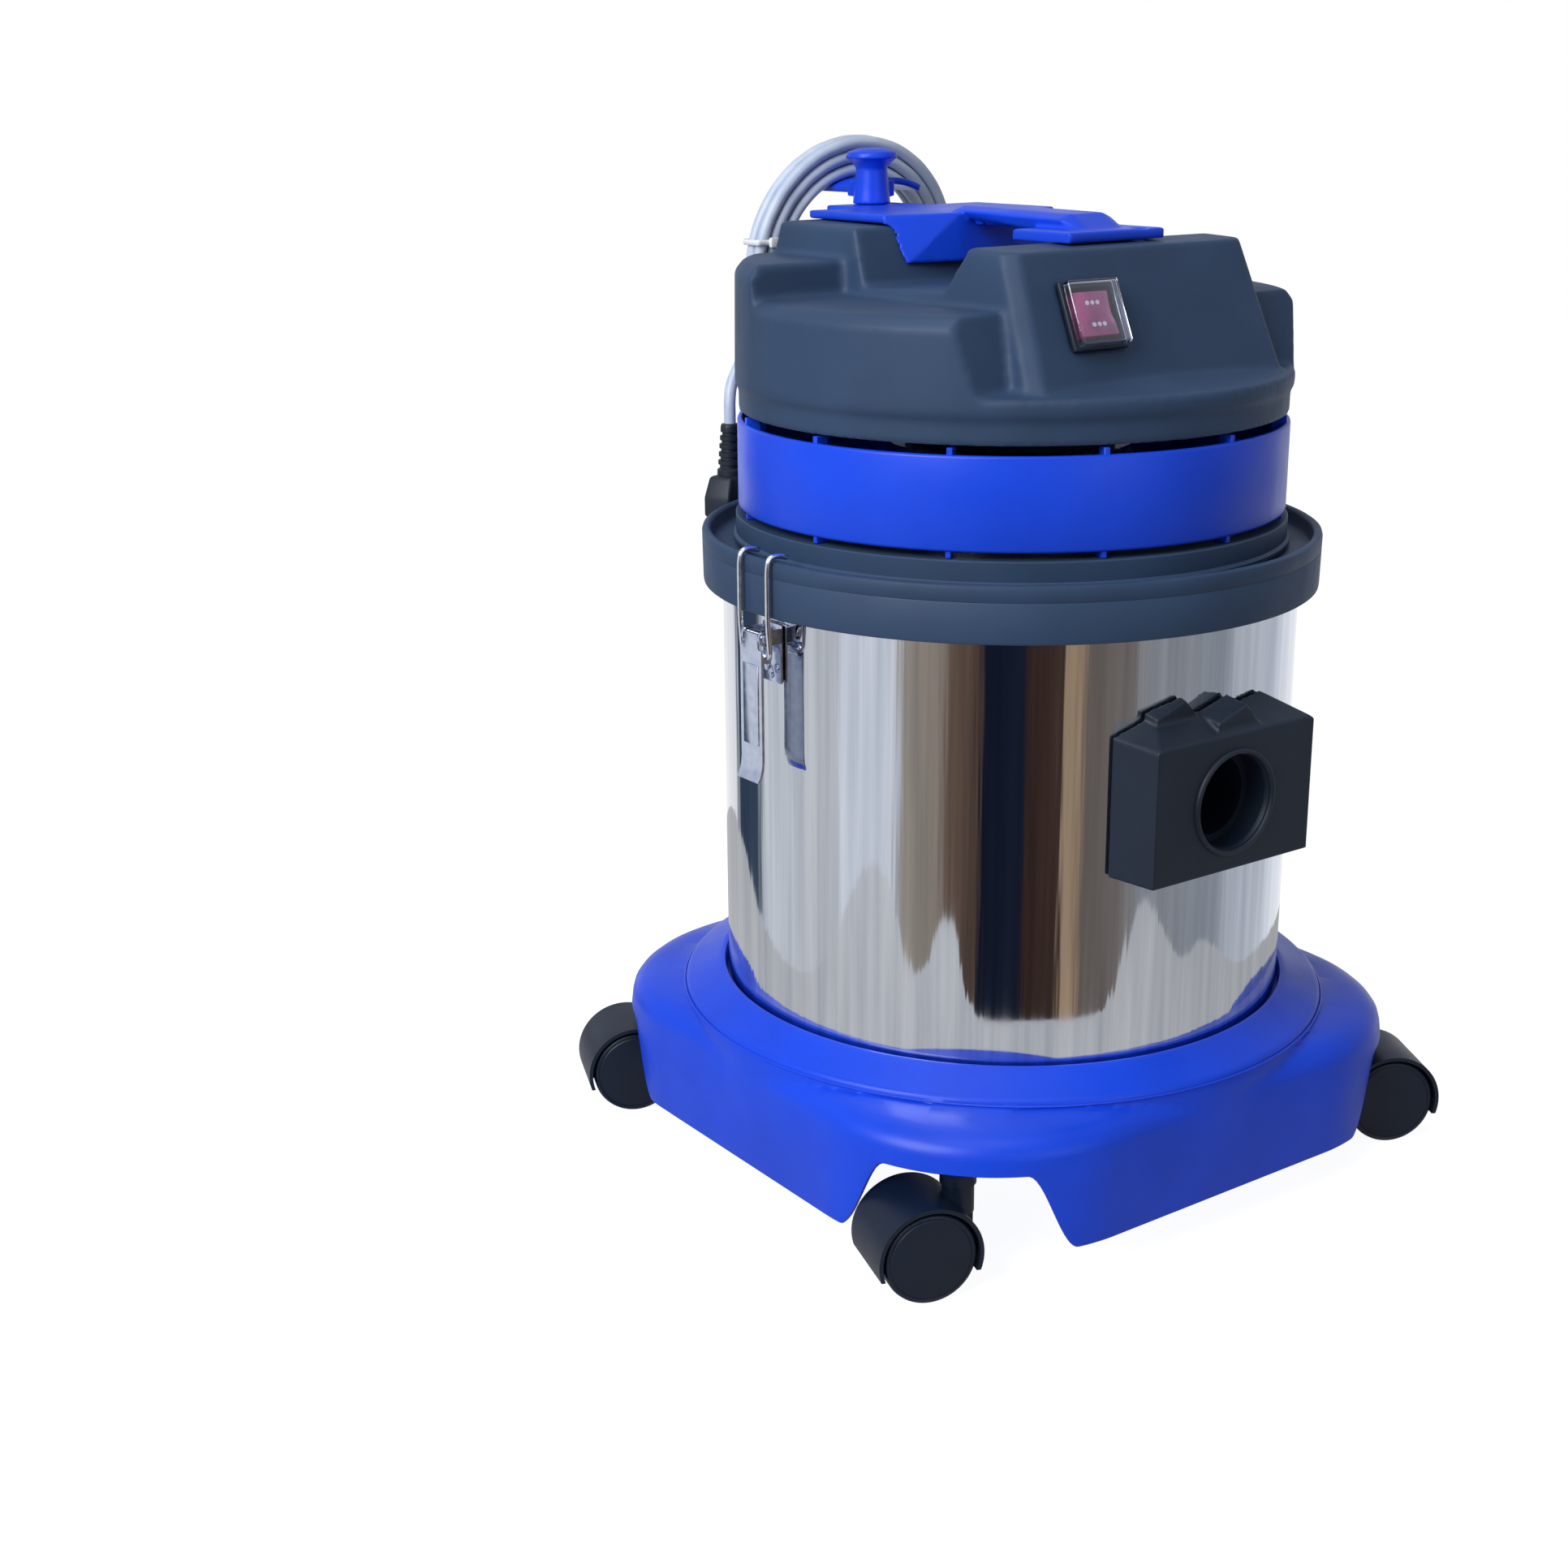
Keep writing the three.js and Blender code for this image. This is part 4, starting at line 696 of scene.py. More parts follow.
class CANISTER_OT_latches(bpy.types.Operator):
    """Two toggle latches: bracket, pin, stamped lever and wire bail"""

    bl_idname = "canister.latches"
    bl_label = "Toggle Latches"

    def execute(self, context):
        for name, side in LEFT_RIGHT:
            place = Matrix.Rotation(0 if side > 0 else math.pi, 4, "Z")
            seat, ear = 160.7, 6.6
            ears = []
            for y in (-ear - 1.5, ear):
                ears.append(block(seat + 0.2, PIN_R, y, y + 1.5, PIN_Z - 4, PIN_Z + 4))
                ears.append(rod("y", 4, y, y + 1.5, (PIN_R, 0, PIN_Z), 32))
            rivets = [rod("x", 2.4, seat + 1.2, seat + 2.9, (0, y, 302), 24, 0.6) for y in (-4, 4)]
            rivets += [rod("x", 1.7, seat + 1.2, seat + 2.5, (0, 0, 297.5), 24, 0.4)]
            plate = block(seat, seat + 1.6, -ear - 1.5, ear + 1.5, 294, 326, 0.5)
            bracket = moved(joined(plate, *ears, *rivets), place)
            piece(bracket, f"latch_bracket_{name}", "zinc", "trolley", f"latch_{name}_bracket")
            heads = [rod("y", 2.4, y, y + 1, (PIN_R, 0, PIN_Z), 24, 0.4) for y in (-9.4, 8.4)]
            pin = joined(rod("y", 1.4, -8.6, 8.6, (PIN_R, 0, PIN_Z), 24, 0.3), *heads)
            piece(moved(pin, place), f"latch_pin_{name}", "zinc", "trolley", f"latch_{name}_pin")
            face = PIN_R + 2.2
            side_view = [
                (face, 254), (face + 0.5, 249), (face + 1.8, 245.2), (face + 3.6, 242.4),
                (face + 4.6, 243.2), (face + 2.9, 246.2), (face + 1.9, 250), (face + 1.5, 254.4),
                (face + 1.5, 314), (face, 314),
            ]
            plate = prism(side_view, -9.6, 9.6, "y")
            crease = block(face + 1, face + 2.1, -6.8, 6.8, 262, 306, 0.5)
            neck = block(face, face + 1.5, -6, 6, 312, 322.6, 0.4)
            parts = [neck, crease]
            holes = []
            for z, wide in ((PIN_Z, 6), (BAIL_Z, 9.6)):
                parts.append(rod("y", 3.2, -wide, wide, (PIN_R, 0, z), 32))
                holes.append(rod("y", 1.5, -20, 20, (PIN_R, 0, z), 24))
            steps = [(ADD, part) for part in parts] + [(CUT, hole) for hole in holes]
            lever = moved(carved(plate, *steps), place)
            node = f"latch_{name}_lever"
            piece(lever, f"latch_lever_{name}", "zinc", f"{name}_lever", node, 28, 0.35)
            path = []
            for y in (-12.5, 12.5):
                leg = [
                    (PIN_R, y, BAIL_Z), (PIN_R + 1.4, y, PIN_Z + 8), (173.4, y, 357), (172.4, y, 363.3),
                    (166.4, y, 364), (160.9, y, 362.4),
                ]
                path += leg if y > 0 else leg[::-1]
            bail = moved(wire(path, 1.4, 4.2), place)
            piece(bail, f"latch_bail_{name}", "spring", f"{name}_bail", f"latch_{name}_bail")
        return {"FINISHED"}


# ---------- head ----------
def air_ribs():
    """Spacer ribs that bridge the air slots above and below the blue band."""
    ribs = []
    for i in range(12):
        place = Matrix.Rotation(TURN * i / 12 + 0.13, 4, "Z")
        low, high = SKIRT_TOP + 0.3, COVER_FOOT - 0.3
        ribs.append(block(BAND_R - 9.5, BAND_R - 1.4, -1.5, 1.5, low, high, 0.3, place, 1))
    return ribs


def cover_stock(grow=0.0):
    """The outer form of the cover as a few shapes to be joined: drum, shoulders and tower."""
    far = 200
    radius = COVER_R + grow
    foot = [(0, COVER_FOOT), (radius - 2, COVER_FOOT), (radius - 2, STEP), (radius, STEP + 1.2)]
    foot += [(radius, LEDGE + grow), (radius - 50, LEDGE + 6 + grow), (0, LEDGE + 6 + grow)]
    low = spun(foot, 256)

    def drum(top):
        edge = [(0, STEP + 5), (radius, STEP + 5), (radius - 0.8, top - 6 + grow)]
        return spun(edge + [(radius - 6, top + grow), (0, top + grow)], 256)

    def ridge(rows):
        """A side view pushed across; each row is y, z and how both move when the form grows."""
        return prism([(y + a * grow, z + b * grow) for y, z, a, b in rows], -far, far)

    low_edge = LEDGE - 8
    shoulder = ridge([
        (-102, LEDGE, -1, 0), (-91, DECK + 1, -1, 0), (60, DECK + 1, 0, 0), (60, low_edge, 0, 0),
        (-102, low_edge, -1, 0),
    ])
    rear = ridge([
        (36, DECK - 30, -1, 0), (38, DECK, -1, 0), (41, REAR_DECK + 1, -1, 0),
        (112, REAR_DECK + 1, 1, 0), (122, low_edge, 1, 0), (36, low_edge, -1, 0),
    ])
    tower = ridge([
        (-124, low_edge, -1, 0), (-118.5, LEDGE + 4, -1, 0), (-91, FRONT_TOP, -1, 1),
        (-60, FRONT_TOP + 1.5, 1, 1), (-44, VALLEY, 1, 1), (22, VALLEY - 2, -1, 1),
        (34, REAR_TOP, -1, 1), (103, REAR_TOP + 1, 1, 1), (114, REAR_DECK, 1, 0), (130, low_edge, 1, 0),
    ])
    corners = []
    for z in (LEDGE - 10, REAR_TOP + 4):
        front = -118.5 - grow + FACE_RUN * (z - LEDGE - 4) / FACE_RISE
        back = 130 + grow - 16 * (z - LEDGE + 8) / 65.1
        wide = 90 + grow - 8 * (z - LEDGE + 10) / 87.5
        for side in (-1, 1):
            corners += [(side * (wide - 7), front, z), (side * wide, front + 7, z)]
            corners += [(side * (wide - 9), back, z), (side * wide, back - 9, z)]
    decks = [carved(drum(top), (KEEP, side)) for top, side in ((DECK, shoulder), (REAR_DECK, rear))]
    return [low, *decks, carved(tower, (KEEP, hulled(corners)))]


class CANISTER_OT_head(bpy.types.Operator):
    """Motor plate skirt, blue baffle band and the stepped cover"""

    bl_idname = "canister.head"
    bl_label = "Head Shells"

    def execute(self, context):
        deck = SKIRT_TOP - 5
        skirt = [
            (46, deck), (149, deck), (149, SKIRT_FOOT + 0.3), (149.4, SKIRT_FOOT), (153, SKIRT_FOOT),
            (153.5, SKIRT_FOOT + 0.5), (153.5, SKIRT_FOOT + 2.1), (152.9, SKIRT_FOOT + 2.7),
            (SKIRT_R, SKIRT_FOOT + 3.6), (SKIRT_R, SKIRT_TOP - 0.6), (151.4, SKIRT_TOP),
            (140.6, SKIRT_TOP), (140, SKIRT_TOP - 0.6), (140, deck + 3), (74, deck + 3), (74, deck + 8),
            (71, deck + 8), (71, deck + 3), (46, deck + 3),
        ]
        piece(spun(skirt, 256), "head_skirt", "slate", "head", "motor_plate", 40)
        band = [
            (147.5, BAND_FOOT + 0.6), (148.1, BAND_FOOT), (149.4, BAND_FOOT), (150.2, BAND_FOOT + 0.5),
            (BAND_R, BAND_FOOT + 1.4), (BAND_R, BAND_TOP - 1.4), (150.2, BAND_TOP - 0.5),
            (149.4, BAND_TOP), (148.1, BAND_TOP), (147.5, BAND_TOP - 0.6),
        ]
        whole = joined(spun(band, 256), *air_ribs())
        piece(whole, "air_band", "blue", "head", "baffle_band", 40)
        room = rod("z", 146.5, COVER_FOOT - 3, STEP + 6, sides=128)
        motor_room = rod("z", 62, STEP, 477, sides=96)
        gland_way = rod("x", 7.3, 135, 170, sides=40, place=GLAND_AT)
        half = 15.8
        window = block(-half, half, -14, 20, -half, half, place=SWITCH_AT)
        grain = context.scene.canister_sizes.cover_grain / MM
        cover = melted(cover_stock(), [room, motor_room, gland_way, window], grain, 5)
        piece(cover, "cover_shell", "slate", "head", "head_cover", 50)
        return {"FINISHED"}


class CANISTER_OT_switch(bpy.types.Operator):
    """Rocker switch: bezel, rocker with printed dots and a clear splash cover"""

    bl_idname = "canister.switch"
    bl_label = "Switch"

    def execute(self, context):
        def square(half, y0, y1, edge=0.0):
            return block(-half, half, y0, y1, -half, half, edge, None, 3)

        bezel = carved(
            square(18, -3.5, -0.3, 1.0), (ADD, square(15.5, -1, 6)), (CUT, square(13.7, -9, 9)),
        )
        piece(moved(bezel, SWITCH_AT), "switch_frame", "abs", "head", "switch_bezel", 30)
        half = 11.5
        outline = [(-5.1, -half), (-4.6, -half * 0.5), (-3.1, 0), (-3.2, half * 0.5), (-3.7, half)]
        outline += [(2.5, half), (5, 3), (5, -3), (2.5, -half)]
        key = prism(outline, -half, half)
        key = softened(moved(key, SWITCH_AT), 0.7, 2, 25)
        piece(key, "rocker_key", "wine", "rocker", "switch_rocker", 40)
        dots = []
        for row in (-1, 1):
            for i in (-1, 0, 1):
                spot = (i * 3.4, 0, row * 5.7)
                proud = -4.95 if row < 0 else -3.62
                dots.append(rod("y", 1.15, proud, proud + 0.6, spot, 20, place=SWITCH_AT))
        piece(joined(*dots), "rocker_dots", "ink", "rocker")
        dome = carved(square(16.8, -9, -3.8, 1.6), (CUT, square(15.4, -7.6, 0, 0.8)))
        piece(moved(dome, SWITCH_AT), "splash_cover", "clear", "head", "switch_splash_cover", 40)
        return {"FINISHED"}


class CANISTER_OT_handle(bpy.types.Operator):
    """Carrying handle with ribs under its grip, and the cord hook behind it"""

    bl_idname = "canister.handle"
    bl_label = "Handle and Hook"

    def execute(self, context):
        front, rear = FRONT_TOP + 1.8, REAR_TOP + 1.3
        top, under = rear + 9, rear + 1.5
        wedge, grip = [], []
        for s in (-1, 1):
            wedge += [(s * 61, 37, rear + 4.5), (s * 61, 37, rear), (s * 20, 22, rear + 5)]
            wedge += [(s * 54, 24, VALLEY + 8), (s * 20, 20, VALLEY + 8), (s * 54, 32.2, rear)]
            wedge += [(s * 54, 26, VALLEY + 8)]
            grip += [(s * 15, 30, under + 1), (s * 18, 30, top - 3), (s * 11, 30, top - 1)]
            grip += [(s * 15, -50, under - 2), (s * 18, -56, top - 5), (s * 11, -56, top - 2)]
            grip += [(s * 11, -70, front + 5), (s * 15, -70, front + 4), (s * 15, -52, front + 2)]
        ribs = [block(-13, 13, y, y + 1.9, under - 3.2, under + 2) for y in range(-44, 20, 4)]
        parts = [hulled(grip), hulled(wedge), joined(*ribs)]
        parts.append(block(-33, 33, -80, -36, front, front + 5.5))
        parts.append(block(-61, 61, 37, 104, rear, rear + 4.5))
        parts.append(block(-24, 24, 100, 138, rear, rear + 4.5))
        low, shoulder, rear_part, tower = cover_stock(0.3)
        low.free()
        shoulder.free()
        cuts = [rear_part, tower, rod("z", 3, front - 1, front + 9, (20, -74, 0), 32)]
        cuts += [rod("z", 5, front + 4, front + 9, (20, -74, 0), 32)]
        whole = melted(parts, cuts, 1.1, 4)
        piece(whole, "carry_handle", "blue", "head", "handle", 50)
        foot = rear + 4.8
        mast_y = 126
        mast = spun(
            [
                (0, foot), (11, foot), (10, foot + 8), (9, foot + 20), (12, foot + 24), (15, foot + 26),
                (14, foot + 29), (8, foot + 31), (0, foot + 31),
            ],
            64,
            SHIFT((0, mast_y, 0)),
        )
        inner = HANK_BEND - 2.5 * HANK_CELL - 0.5
        centre = HANK_TOP - HANK_BEND - 3.8
        over, beneath = [], []
        for i in range(25):
            a = math.pi / 2 + (0.5 - i / 24) * 0.9
            over.append((HANK_X + inner * math.cos(a), centre + inner * math.sin(a)))
            beneath.insert(0, (HANK_X + (inner - 4) * math.cos(a), centre + (inner - 4) * math.sin(a)))
        lip = [(x, z + 3) for x, z in over] + beneath
        saddle = prism(over + beneath, mast_y + 4, HANK_Y + 14, "y")
        stop = prism(lip, HANK_Y + 12, HANK_Y + 14, "y")
        strut = block(-6, 14, mast_y - 4, mast_y + 16, foot + 4, foot + 13)
        hook = melted([mast, saddle, stop, strut], [], 0.9, 3)
        piece(hook, "hank_hook", "blue", "head", "cord_hook", 50)
        return {"FINISHED"}


# ---------- mains cord ----------
# from the gland to the hank's right run
LEAD_IN = [
    (147.6, 115.3, 458.2), (160.6, 127.4, 455), (169.1, 141.4, 447.7), (168.3, 155, 436.2),
    (158.9, 165, 424.6), (144.8, 171.9, 415.7), (128, 176.5, 410.8), (110.4, 178.8, 412.9),
    (96.9, 178.9, 424.6), (90.6, 177.6, 441.4),
]
# from the hank's left run down to the plug
LEAD_OUT = [
    (-54.6, 170.2, 455), (-58.5, 170.6, 444), (-65, 170.6, 434), (-70, 170, 425), (-72.5, 168.6, 416),
    (-73, 168, 409), (-73, 168, 402.6),
]


def hank_turns():
    """The cord's wound part: three turns from outside to inside, and three back behind them."""
    place = SHIFT((HANK_X, HANK_Y, HANK_TOP)) @ Matrix.Rotation(HANK_LEAN, 4, "X")
    place = place @ SHIFT((0, 0, -HANK_RUN / 2 - HANK_BEND - HANK_CELL / 2))
    half = HANK_RUN / 2
    inner = HANK_BEND - 2 * HANK_CELL
    layers = [(HANK_BEND, 3.8), (inner + HANK_CELL, 3.8), (inner, 3.8)]
    layers += [(r, -y) for r, y in reversed(layers)]
    path = [(layers[0][0], layers[0][1], z) for z in (half * 0.62, half * 0.85)]
    for turn, (radius, depth) in enumerate(layers):
        for i in range(13):
            a = math.pi * i / 12
            path.append((radius * math.cos(a), depth, half + radius * math.sin(a)))
        if turn == len(layers) - 1:
            path.append((-radius, depth, half * 0.75))
            break
        path += [(-radius, depth, half * f) for f in (0.7, 0.35, 0, -0.35, -0.7)]
        fresh, other = layers[turn + 1]
        for i in range(13):
            t = i / 12
            ease = t * t * (3 - 2 * t)
            a = math.pi * (1 + t)
            r = radius + (fresh - radius) * ease
            path.append((r * math.cos(a), depth + (other - depth) * ease, -half + r * math.sin(a)))
        path += [(fresh, other, half * f) for f in (-0.7, -0.35, 0, 0.35, 0.7)]
    return [tuple(place @ Vector(p)) for p in path]


class CANISTER_OT_cord(bpy.types.Operator):
    """Mains cord from its gland, wound in a hank on the hook, with its plug, gland and tie"""

    bl_idname = "canister.cord"
    bl_label = "Mains Cord"

    def execute(self, context):
        thick = context.scene.canister_sizes.cord_diameter
        route = LEAD_IN + hank_turns() + LEAD_OUT
        cord = curved("mains_cord", route, thick / 2 / MM, "BEZIER", 5)
        cord.data.resolution_u = 5
        cord.data.materials.append(finishes["cord"])

        gland_rings = [(0, 143), (6.6, 143), (6.6, 151.7), (9.6, 151.7), (10, 152.1), (10, 154.6)]
        gland_rings += [(9.4, 155.3), (7.4, 157)]
        for i in range(6):
            at = 159 + i * 4.2
            wide = 7.3 - 0.27 * i
            gland_rings += [(wide, at), (wide, at + 2), (wide - 1.1, at + 2.4), (wide - 1.2, at + 3.8)]
        gland_rings += [(5.6, 184.6), (5.2, 185.5), (0, 185.5)]
        gland = spun(gland_rings, 48, GLAND_AT @ turned("Y", 90))
        relief = piece(gland, "cord_relief", "pvc_black", "head", "cord_gland")

        x, y, entry = LEAD_OUT[-1]
        top = entry - 0.3
        neck = [(0, top), (5, top), (5.4, top - 0.6)]
        for i in range(5):
            at = top - 2.2 - i * 4.8
            wide = 5.7 + 0.42 * i
            neck += [(wide, at), (wide, at - 2.4), (wide - 1, at - 2.8), (wide - 0.9, at - 4.4)]
        neck += [(8, top - 27), (8.2, top - 34), (0, top - 34)]
        body = []
        for s in (-1, 1):
            for d in (-1, 1):
                body += [(s * 12, d * 8, top - 30)]
                body += [(s * 17, d * 9, z) for z in (top - 42, top - 54)]
        way = SHIFT((x, y, 0)) @ turned("Z", 24)
        whole = joined(
            spun(neck, 48), hulled(body, 2.2, None, 4),
            *(rod("z", 2.4, top - 56, top - 53.2, (px, 0, 0), 32) for px in (-9.5, 9.5)),
        )
        plug = piece(moved(whole, way), "cord_plug", "pvc_black", "head", "plug", 40)
        pins = joined(*(rod("z", 2.35, top - 73, top - 54, (px, 0, 0), 32, 1.1) for px in (-9.5, 9.5)))
        blades = piece(moved(pins, way), "plug_pins", "zinc", "head")

        middle = HANK_Y + (HANK_TOP - 506) * math.sin(HANK_LEAN)
        left = HANK_X - HANK_BEND + HANK_CELL
        strap = carved(
            block(left - 12, left + 12, middle - 8.6, middle + 8.6, 504, 508.5, 2.4, None, 4),
            (CUT, block(left - 11.3, left + 11.3, middle - 7.9, middle + 7.9, 500, 530, 2.2, None, 4)),
        )
        head = block(left - 4, left + 2, middle - 11, middle - 8, 503.5, 509, 0.6)
        tie = piece(joined(strap, head), "hank_tie", "white", "head")
        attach(cord, "head")
        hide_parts("cord_lead_in", "cord_hank", "cord_lead_out")
        return {"FINISHED"}


# ---------- filter and the pieces that keep their solid ----------
KEPT = {
    "inlet_elbow": "abs", "head_seal": "rubber", "switch_body": "abs", "fan_can": "zinc",
    "impeller": "zinc", "motor_shaft": "zinc", "motor_stator": "copper", "motor_armature": "copper",
    "motor_shell": "slate", "float_cage": "abs", "float": "white",
}


class CANISTER_OT_insides(bpy.types.Operator):
    """Filter bag and frame, and finishes for the pieces inside"""

    bl_idname = "canister.insides"
    bl_label = "Filter and Insides"

    def execute(self, context):
        top = SKIRT_TOP - 5.6
        hoop = [(99, top - 4), (102, top - 8), (141, top - 8), (142, top - 7.2), (142, top - 0.8)]
        hoop += [(141.2, top), (99, top)]
        piece(spun(hoop, 192), "filter_hoop", "abs", "head", "filter_frame", 40)
        foot = top - 150
        sack = [(0, foot), (70, foot), (76, foot + 0.8), (84, foot + 5), (90, foot + 11)]
        sack.append((92, foot + 15))
        for i in range(1, 10):
            t = i / 10
            sack.append((98 - 6 * (1 - t) + 1.2 * math.sin(9 * t), foot + 15 + 126.6 * t))
        sack += [(98, top - 9), (98, top - 4.4), (94, top - 4.4), (93, top - 12)]
        sack += [(88, foot + 17), (80, foot + 8), (70, foot + 4), (0, foot + 4)]
        bag = spun(sack, 192)
        for v in bag.verts:
            angle = math.atan2(v.co.y, v.co.x)
            give = 0.9 * math.sin(23 * angle + 0.02 * v.co.z) * min((top - 9 - v.co.z) / 40, 1)
            reach = math.hypot(v.co.x, v.co.y)
            if reach > 60 and give:
                v.co.x *= (reach - 0.9 + give) / reach
                v.co.y *= (reach - 0.9 + give) / reach
        piece(bag, "filter_sack", "felt", "head", "filter_bag", 60)
        kept = dict(KEPT)
        for name, _, _, _ in CASTERS:
            kept[f"caster_{name}_stem"] = kept[f"caster_{name}_axle"] = "zinc"
        for name, look in kept.items():
            for slot in bpy.data.objects[name].material_slots:
                slot.material = finishes[look]
        return {"FINISHED"}


# ---------- stage ----------
# what stands round the camera, as the mirror-bright tank shows it: degrees to the right of the camera
SURROUNDINGS = [
    (-180, "#ffffff"), (-146, "#f6f8fb"), (-142, "#35445a"), (-124, "#3b4a60"), (-119, "#dfe3ea"),
    (-76, "#cdd0d5"), (-73, "#e4e9f4"), (-50, "#dfe4ee"), (-46, "#a59c92"), (-30, "#94897e"),
    (-26, "#6d5a4e"), (-15, "#55453d"), (-13, "#151b2c"), (1, "#1a2133"), (4, "#3a2a26"),
    (17, "#463631"), (19, "#b39a7e"), (23, "#a98f76"), (26, "#6f655f"), (44, "#7d7672"),
    (50, "#92949a"), (90, "#9aa0a9"), (96, "#c2c7d0"), (126, "#cfd4de"), (134, "#eef2fb"),
    (180, "#ffffff"),
]
CAMERA_SIDE = 234.7  # direction from the machine toward the camera, degrees from +X
EYE = (-0.8222, -0.9425, 0.5977)  # metres
EYE_HEADING, EYE_DIP, EYE_ROLL = -35.29, 17.39, -0.53  # degrees


def paint_world(scene):
    """A pale studio for the camera and the light, and a striped room for what the metal mirrors."""
    world = bpy.data.worlds.new("studio_surroundings")
    scene.world = world
    world.use_nodes = True
    tree = world.node_tree
    tree.nodes.clear()
    way = add_node(tree, "TexCoord").outputs["Generated"]
    turned = add_node(
        tree, "Mapping", {"Vector": way, "Rotation": (0, 0, -math.radians(CAMERA_SIDE))}
    )
    split = add_node(tree, "SeparateXYZ", {"Vector": turned.outputs[0]})
    angle = add_node(
        tree, "Math", {0: split.outputs["Y"], 1: split.outputs["X"]}, operation="ARCTAN2"
    )
    share = add_node(
        tree, "MapRange", {"Value": angle.outputs[0], "From Min": -math.pi, "From Max": math.pi}
    )
    ramp = add_node(tree, "ValToRGB", {"Fac": share.outputs["Result"]})
    stops = ramp.color_ramp.elements
    for i, (degrees, code) in enumerate(SURROUNDINGS):
        place = (degrees + 180) / 360
        stop = stops[i] if i < 2 else stops.new(place)
        stop.position, stop.color = place, linear(code)
    # above the horizon everything is an even pale ceiling
    rise = add_node(
        tree, "MapRange", {"Value": split.outputs["Z"], "From Min": -0.06, "From Max": 0.12}
    )
    room = add_node(
        tree, "Mix",
        {"Factor": rise.outputs["Result"], "A": ramp.outputs["Color"], "B": linear("#c9ced8")},
        data_type="RGBA",
    )
    return tree, room


class CANISTER_OT_stage(bpy.types.Operator):
    """Floor, lights and surroundings of the studio"""

    bl_idname = "canister.stage"
    bl_label = "Studio"

    def execute(self, context):
        scene = context.scene
        tree, room = paint_world(scene)
        rays = add_node(tree, "LightPath").outputs

        def glow(colour, strength=1.0):
            return add_node(tree, "Background", {"Color": colour, "Strength": strength}).outputs[0]

        soft = glow(linear("#c8cdd6"), 0.15)
        lit = add_node(
            tree, "MixShader", {0: rays["Is Glossy Ray"], 1: soft, 2: glow(room.outputs["Result"])}
        )
        both = {0: rays["Is Camera Ray"], 1: lit.outputs[0], 2: glow(linear("#ffffff"))}
        add_node(tree, "OutputWorld", {"Surface": add_node(tree, "MixShader", both).outputs[0]})

        # paper lit from behind: a shadow only just shows on it
        floor_look, tree, place = begun("studio_paper_backlit")
        sight = add_node(tree, "LightPath").outputs
        # full glow to the eye, less as light on the machine, enough to mirror as pale grey
        seen = add_node(tree, "Math", {0: sight["Is Camera Ray"], 1: 0.76}, operation="MULTIPLY")
        mirror = {0: sight["Is Glossy Ray"], 1: 0.16, 2: seen.outputs[0]}
        mirrored = add_node(tree, "Math", mirror, operation="MULTIPLY_ADD")
        finished(floor_look, {
            "IOR": 1.45,
            "Base Color": toned(tree, noise(tree, place, 400, 2), "#85878a", "#8b8d91"),
            "Roughness": 0.9,
            "Emission Color": linear("#ffffff"),
            "Emission Strength": add_node(tree, "Math", {0: mirrored.outputs[0], 1: 0.18}).outputs[0],
        })
        # the sheet reaches out in lobes, which the foot of the tank mirrors as pale curtains
        lobes = ((-140, 30, 0.25), (-52, 14, 0.3), (-24, 7, 0.2), (46, 10, 0.22), (70, 12, 0.1))
        outline = []
        for i in range(180):
            angle = TURN * i / 180
            reach = 0.44
            for middle, width, more in lobes:
                off = (math.degrees(angle) - CAMERA_SIDE - middle + 180) % 360 - 180
                reach += more * math.exp(-((off / width) ** 2))
            outline.append((reach * math.cos(angle), reach * math.sin(angle)))
        square = [(-4, -4), (4, -4), (4, 4), (-4, 4)]
        for name, edge, z, mirrored_too in (
            ("studio_floor", square, -0.0006, False), ("studio_sheet", outline, -0.0003, True),
        ):
            bm = prism(edge, z - 0.0002, z, "z")
            mesh = bpy.data.meshes.new(name)
            bm.to_mesh(mesh)
            bm.free()
            mesh.materials.append(floor_look)
            ground = bpy.data.objects.new(name, mesh)
            scene.collection.objects.link(ground)
            ground.visible_glossy = mirrored_too

        for name, azimuth, height, away, size, power in (
            ("key_softbox", 192, 34, 2.6, 1.5, 66), ("top_softbox", 215, 76, 2.4, 1.4, 12),
            ("fill_panel", 268, 16, 2.8, 1.6, 7),
        ):
            lamp = bpy.data.lights.new(name, "AREA")
            lamp.energy, lamp.size, lamp.color = power, size, (0.97, 0.985, 1.0)
            holder = bpy.data.objects.new(name, lamp)
            scene.collection.objects.link(holder)
            a, h = math.radians(azimuth), math.radians(height)
            way = Vector((math.cos(a) * math.cos(h), math.sin(a) * math.cos(h), math.sin(h)))
            holder.location = way * away
            holder.location.z += 0.25
            aim = Vector((0, 0, 0.28)) - holder.location
            holder.rotation_euler = aim.to_track_quat("-Z", "Y").to_euler()
        scene.view_settings.view_transform = "Standard"
        return {"FINISHED"}


class CANISTER_OT_camera(bpy.types.Operator):
    """Camera in front and to the left, a little above the machine"""

    bl_idname = "canister.camera"
    bl_label = "Camera"

    def execute(self, context):
        lens = bpy.data.cameras.new("view")
        lens.lens, lens.sensor_width = context.scene.canister_sizes.focal_length, 36
        lens.clip_start, lens.clip_end = 0.05, 50
        eye = bpy.data.objects.new("view", lens)
        context.scene.collection.objects.link(eye)
        eye.location = EYE
        aim = turned("Z", EYE_HEADING) @ turned("X", 90 - EYE_DIP) @ turned("Z", EYE_ROLL)
        eye.rotation_euler = aim.to_euler()
        context.scene.camera = eye
        return {"FINISHED"}


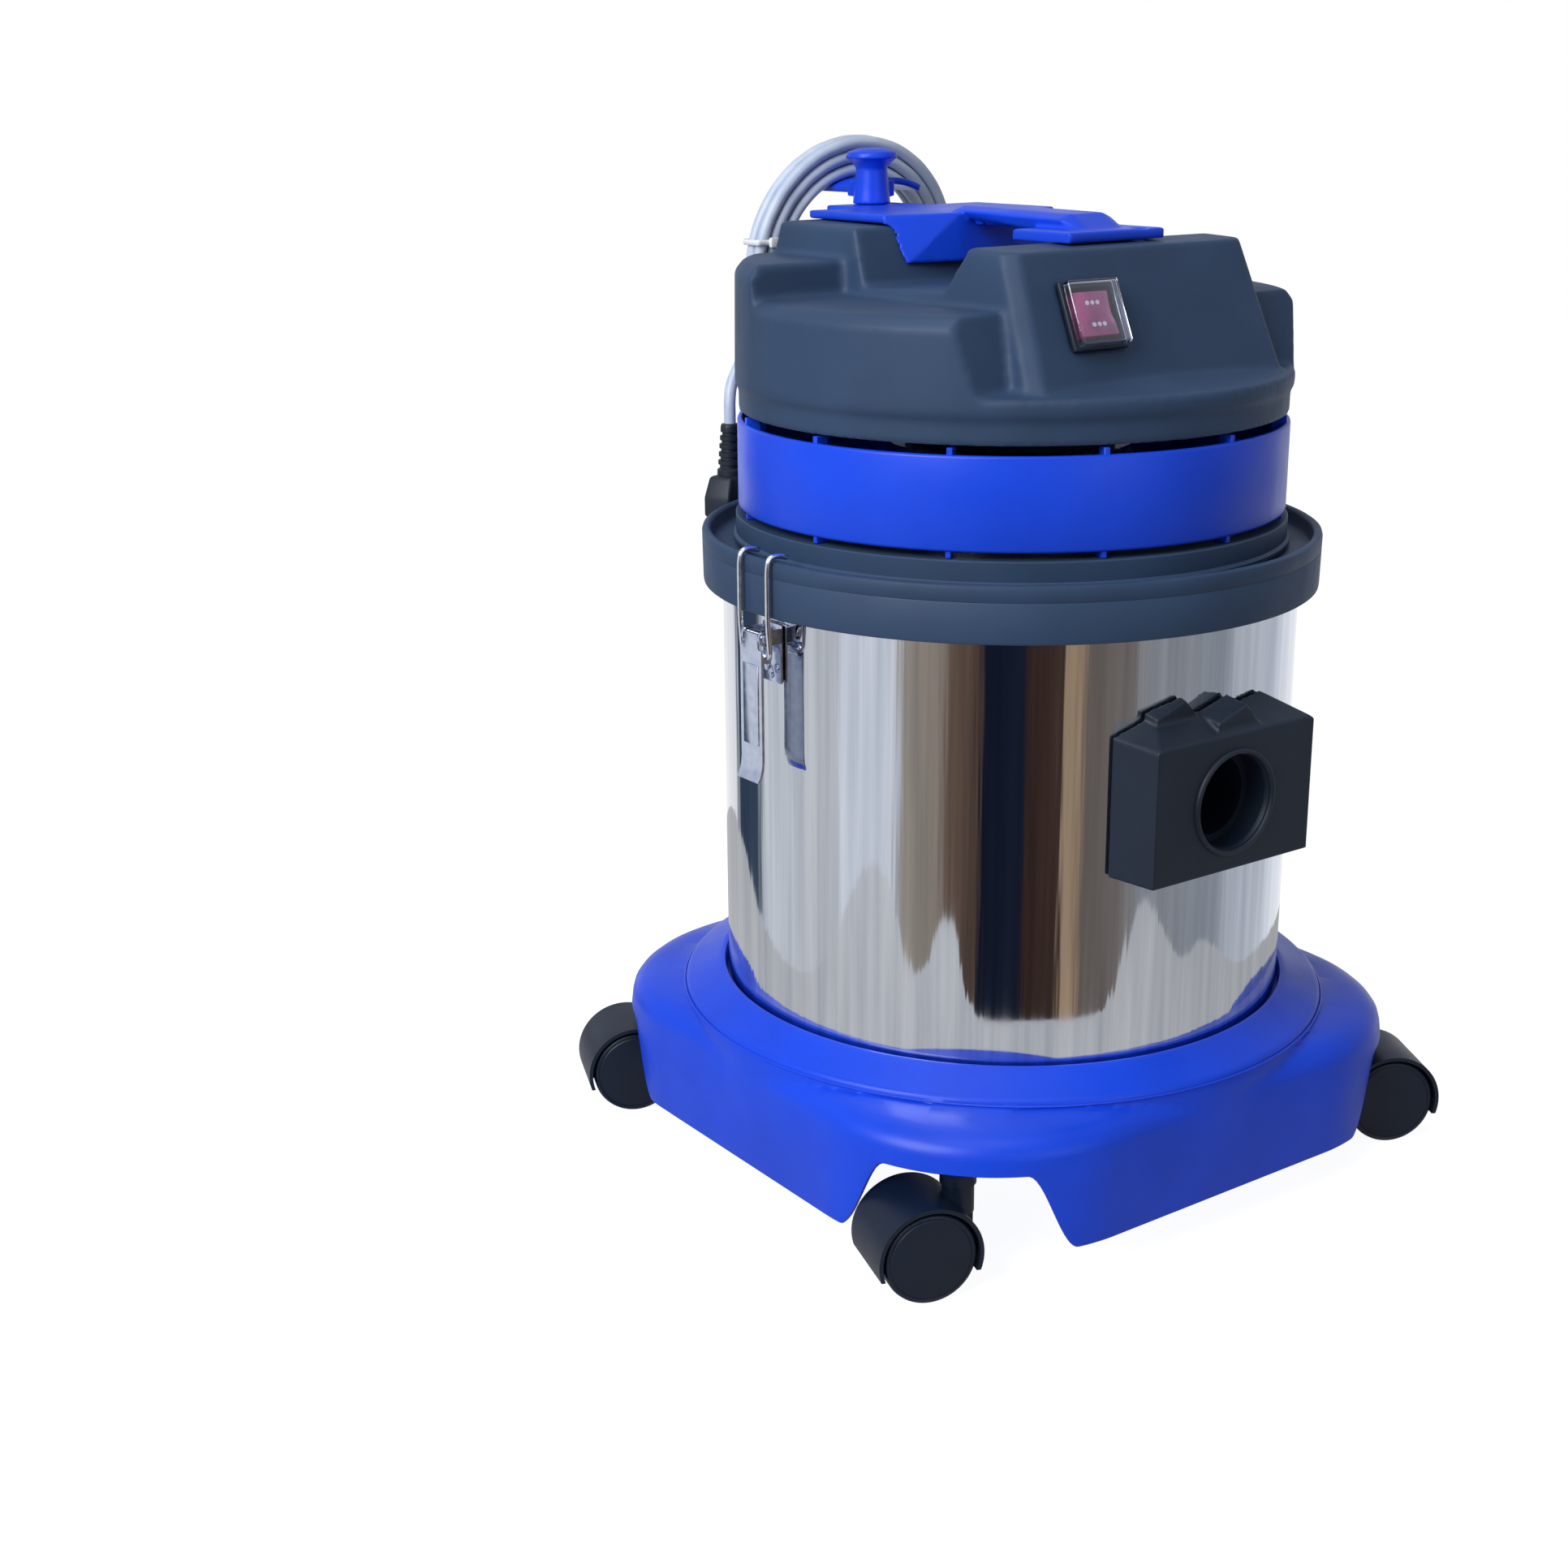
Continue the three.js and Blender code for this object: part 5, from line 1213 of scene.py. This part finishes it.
# ---------- add-on ----------
class CanisterSizes(bpy.types.PropertyGroup):
    cord_diameter: FloatProperty(
        name="Cord diameter", description="Outer diameter of the mains cord", default=0.007,
        subtype="DISTANCE", unit="LENGTH",
    )
    cover_grain: FloatProperty(
        name="Cover grain",
        description="Size of the cells that the cover is melted into, which rounds its edges",
        default=0.0019, subtype="DISTANCE", unit="LENGTH",
    )
    focal_length: FloatProperty(
        name="Focal length", description="Lens of the camera, in millimetres", default=51.78, min=10
    )


class CanisterLooks(bpy.types.PropertyGroup):
    blue_plastic: FloatVectorProperty(
        name="Blue plastic", description="Colour of the base, band and handle", subtype="COLOR",
        default=(0.07, 0.27, 0.85),
    )
    slate_plastic: FloatVectorProperty(
        name="Slate plastic", description="Colour of the cover, skirt and rim channel",
        subtype="COLOR", default=(0.17, 0.25, 0.36),
    )


PIECES = (
    CANISTER_OT_camera, CANISTER_OT_cord, CANISTER_OT_trolley, CANISTER_OT_casters, CANISTER_OT_tank,
    CANISTER_OT_inlet, CANISTER_OT_latches, CANISTER_OT_head, CANISTER_OT_switch, CANISTER_OT_handle,
    CANISTER_OT_insides, CANISTER_OT_stage,
)


class CANISTER_PT_panel(bpy.types.Panel):
    bl_idname = "CANISTER_PT_panel"
    bl_label = "Canister Vacuum"
    bl_space_type = "VIEW_3D"
    bl_region_type = "UI"
    bl_category = "Canister"

    def draw(self, context):
        for group in (context.scene.canister_sizes, context.scene.canister_looks):
            box = self.layout.box()
            for key in group.__annotations__:
                box.prop(group, key)
        for step in PIECES:
            self.layout.operator(step.bl_idname)


CLASSES = (CanisterSizes, CanisterLooks, *PIECES, CANISTER_PT_panel)


def register():
    for kind in CLASSES:
        bpy.utils.register_class(kind)
    bpy.types.Scene.canister_sizes = PointerProperty(type=CanisterSizes)
    bpy.types.Scene.canister_looks = PointerProperty(type=CanisterLooks)


def unregister():
    del bpy.types.Scene.canister_looks
    del bpy.types.Scene.canister_sizes
    for kind in reversed(CLASSES):
        bpy.utils.unregister_class(kind)


def main():
    register()
    finishes.update(make_materials())
    for step in PIECES:
        group, name = step.bl_idname.split(".")
        getattr(getattr(bpy.ops, group), name)()
    bpy.context.view_layer.update()


if __name__ == "__main__":
    main()
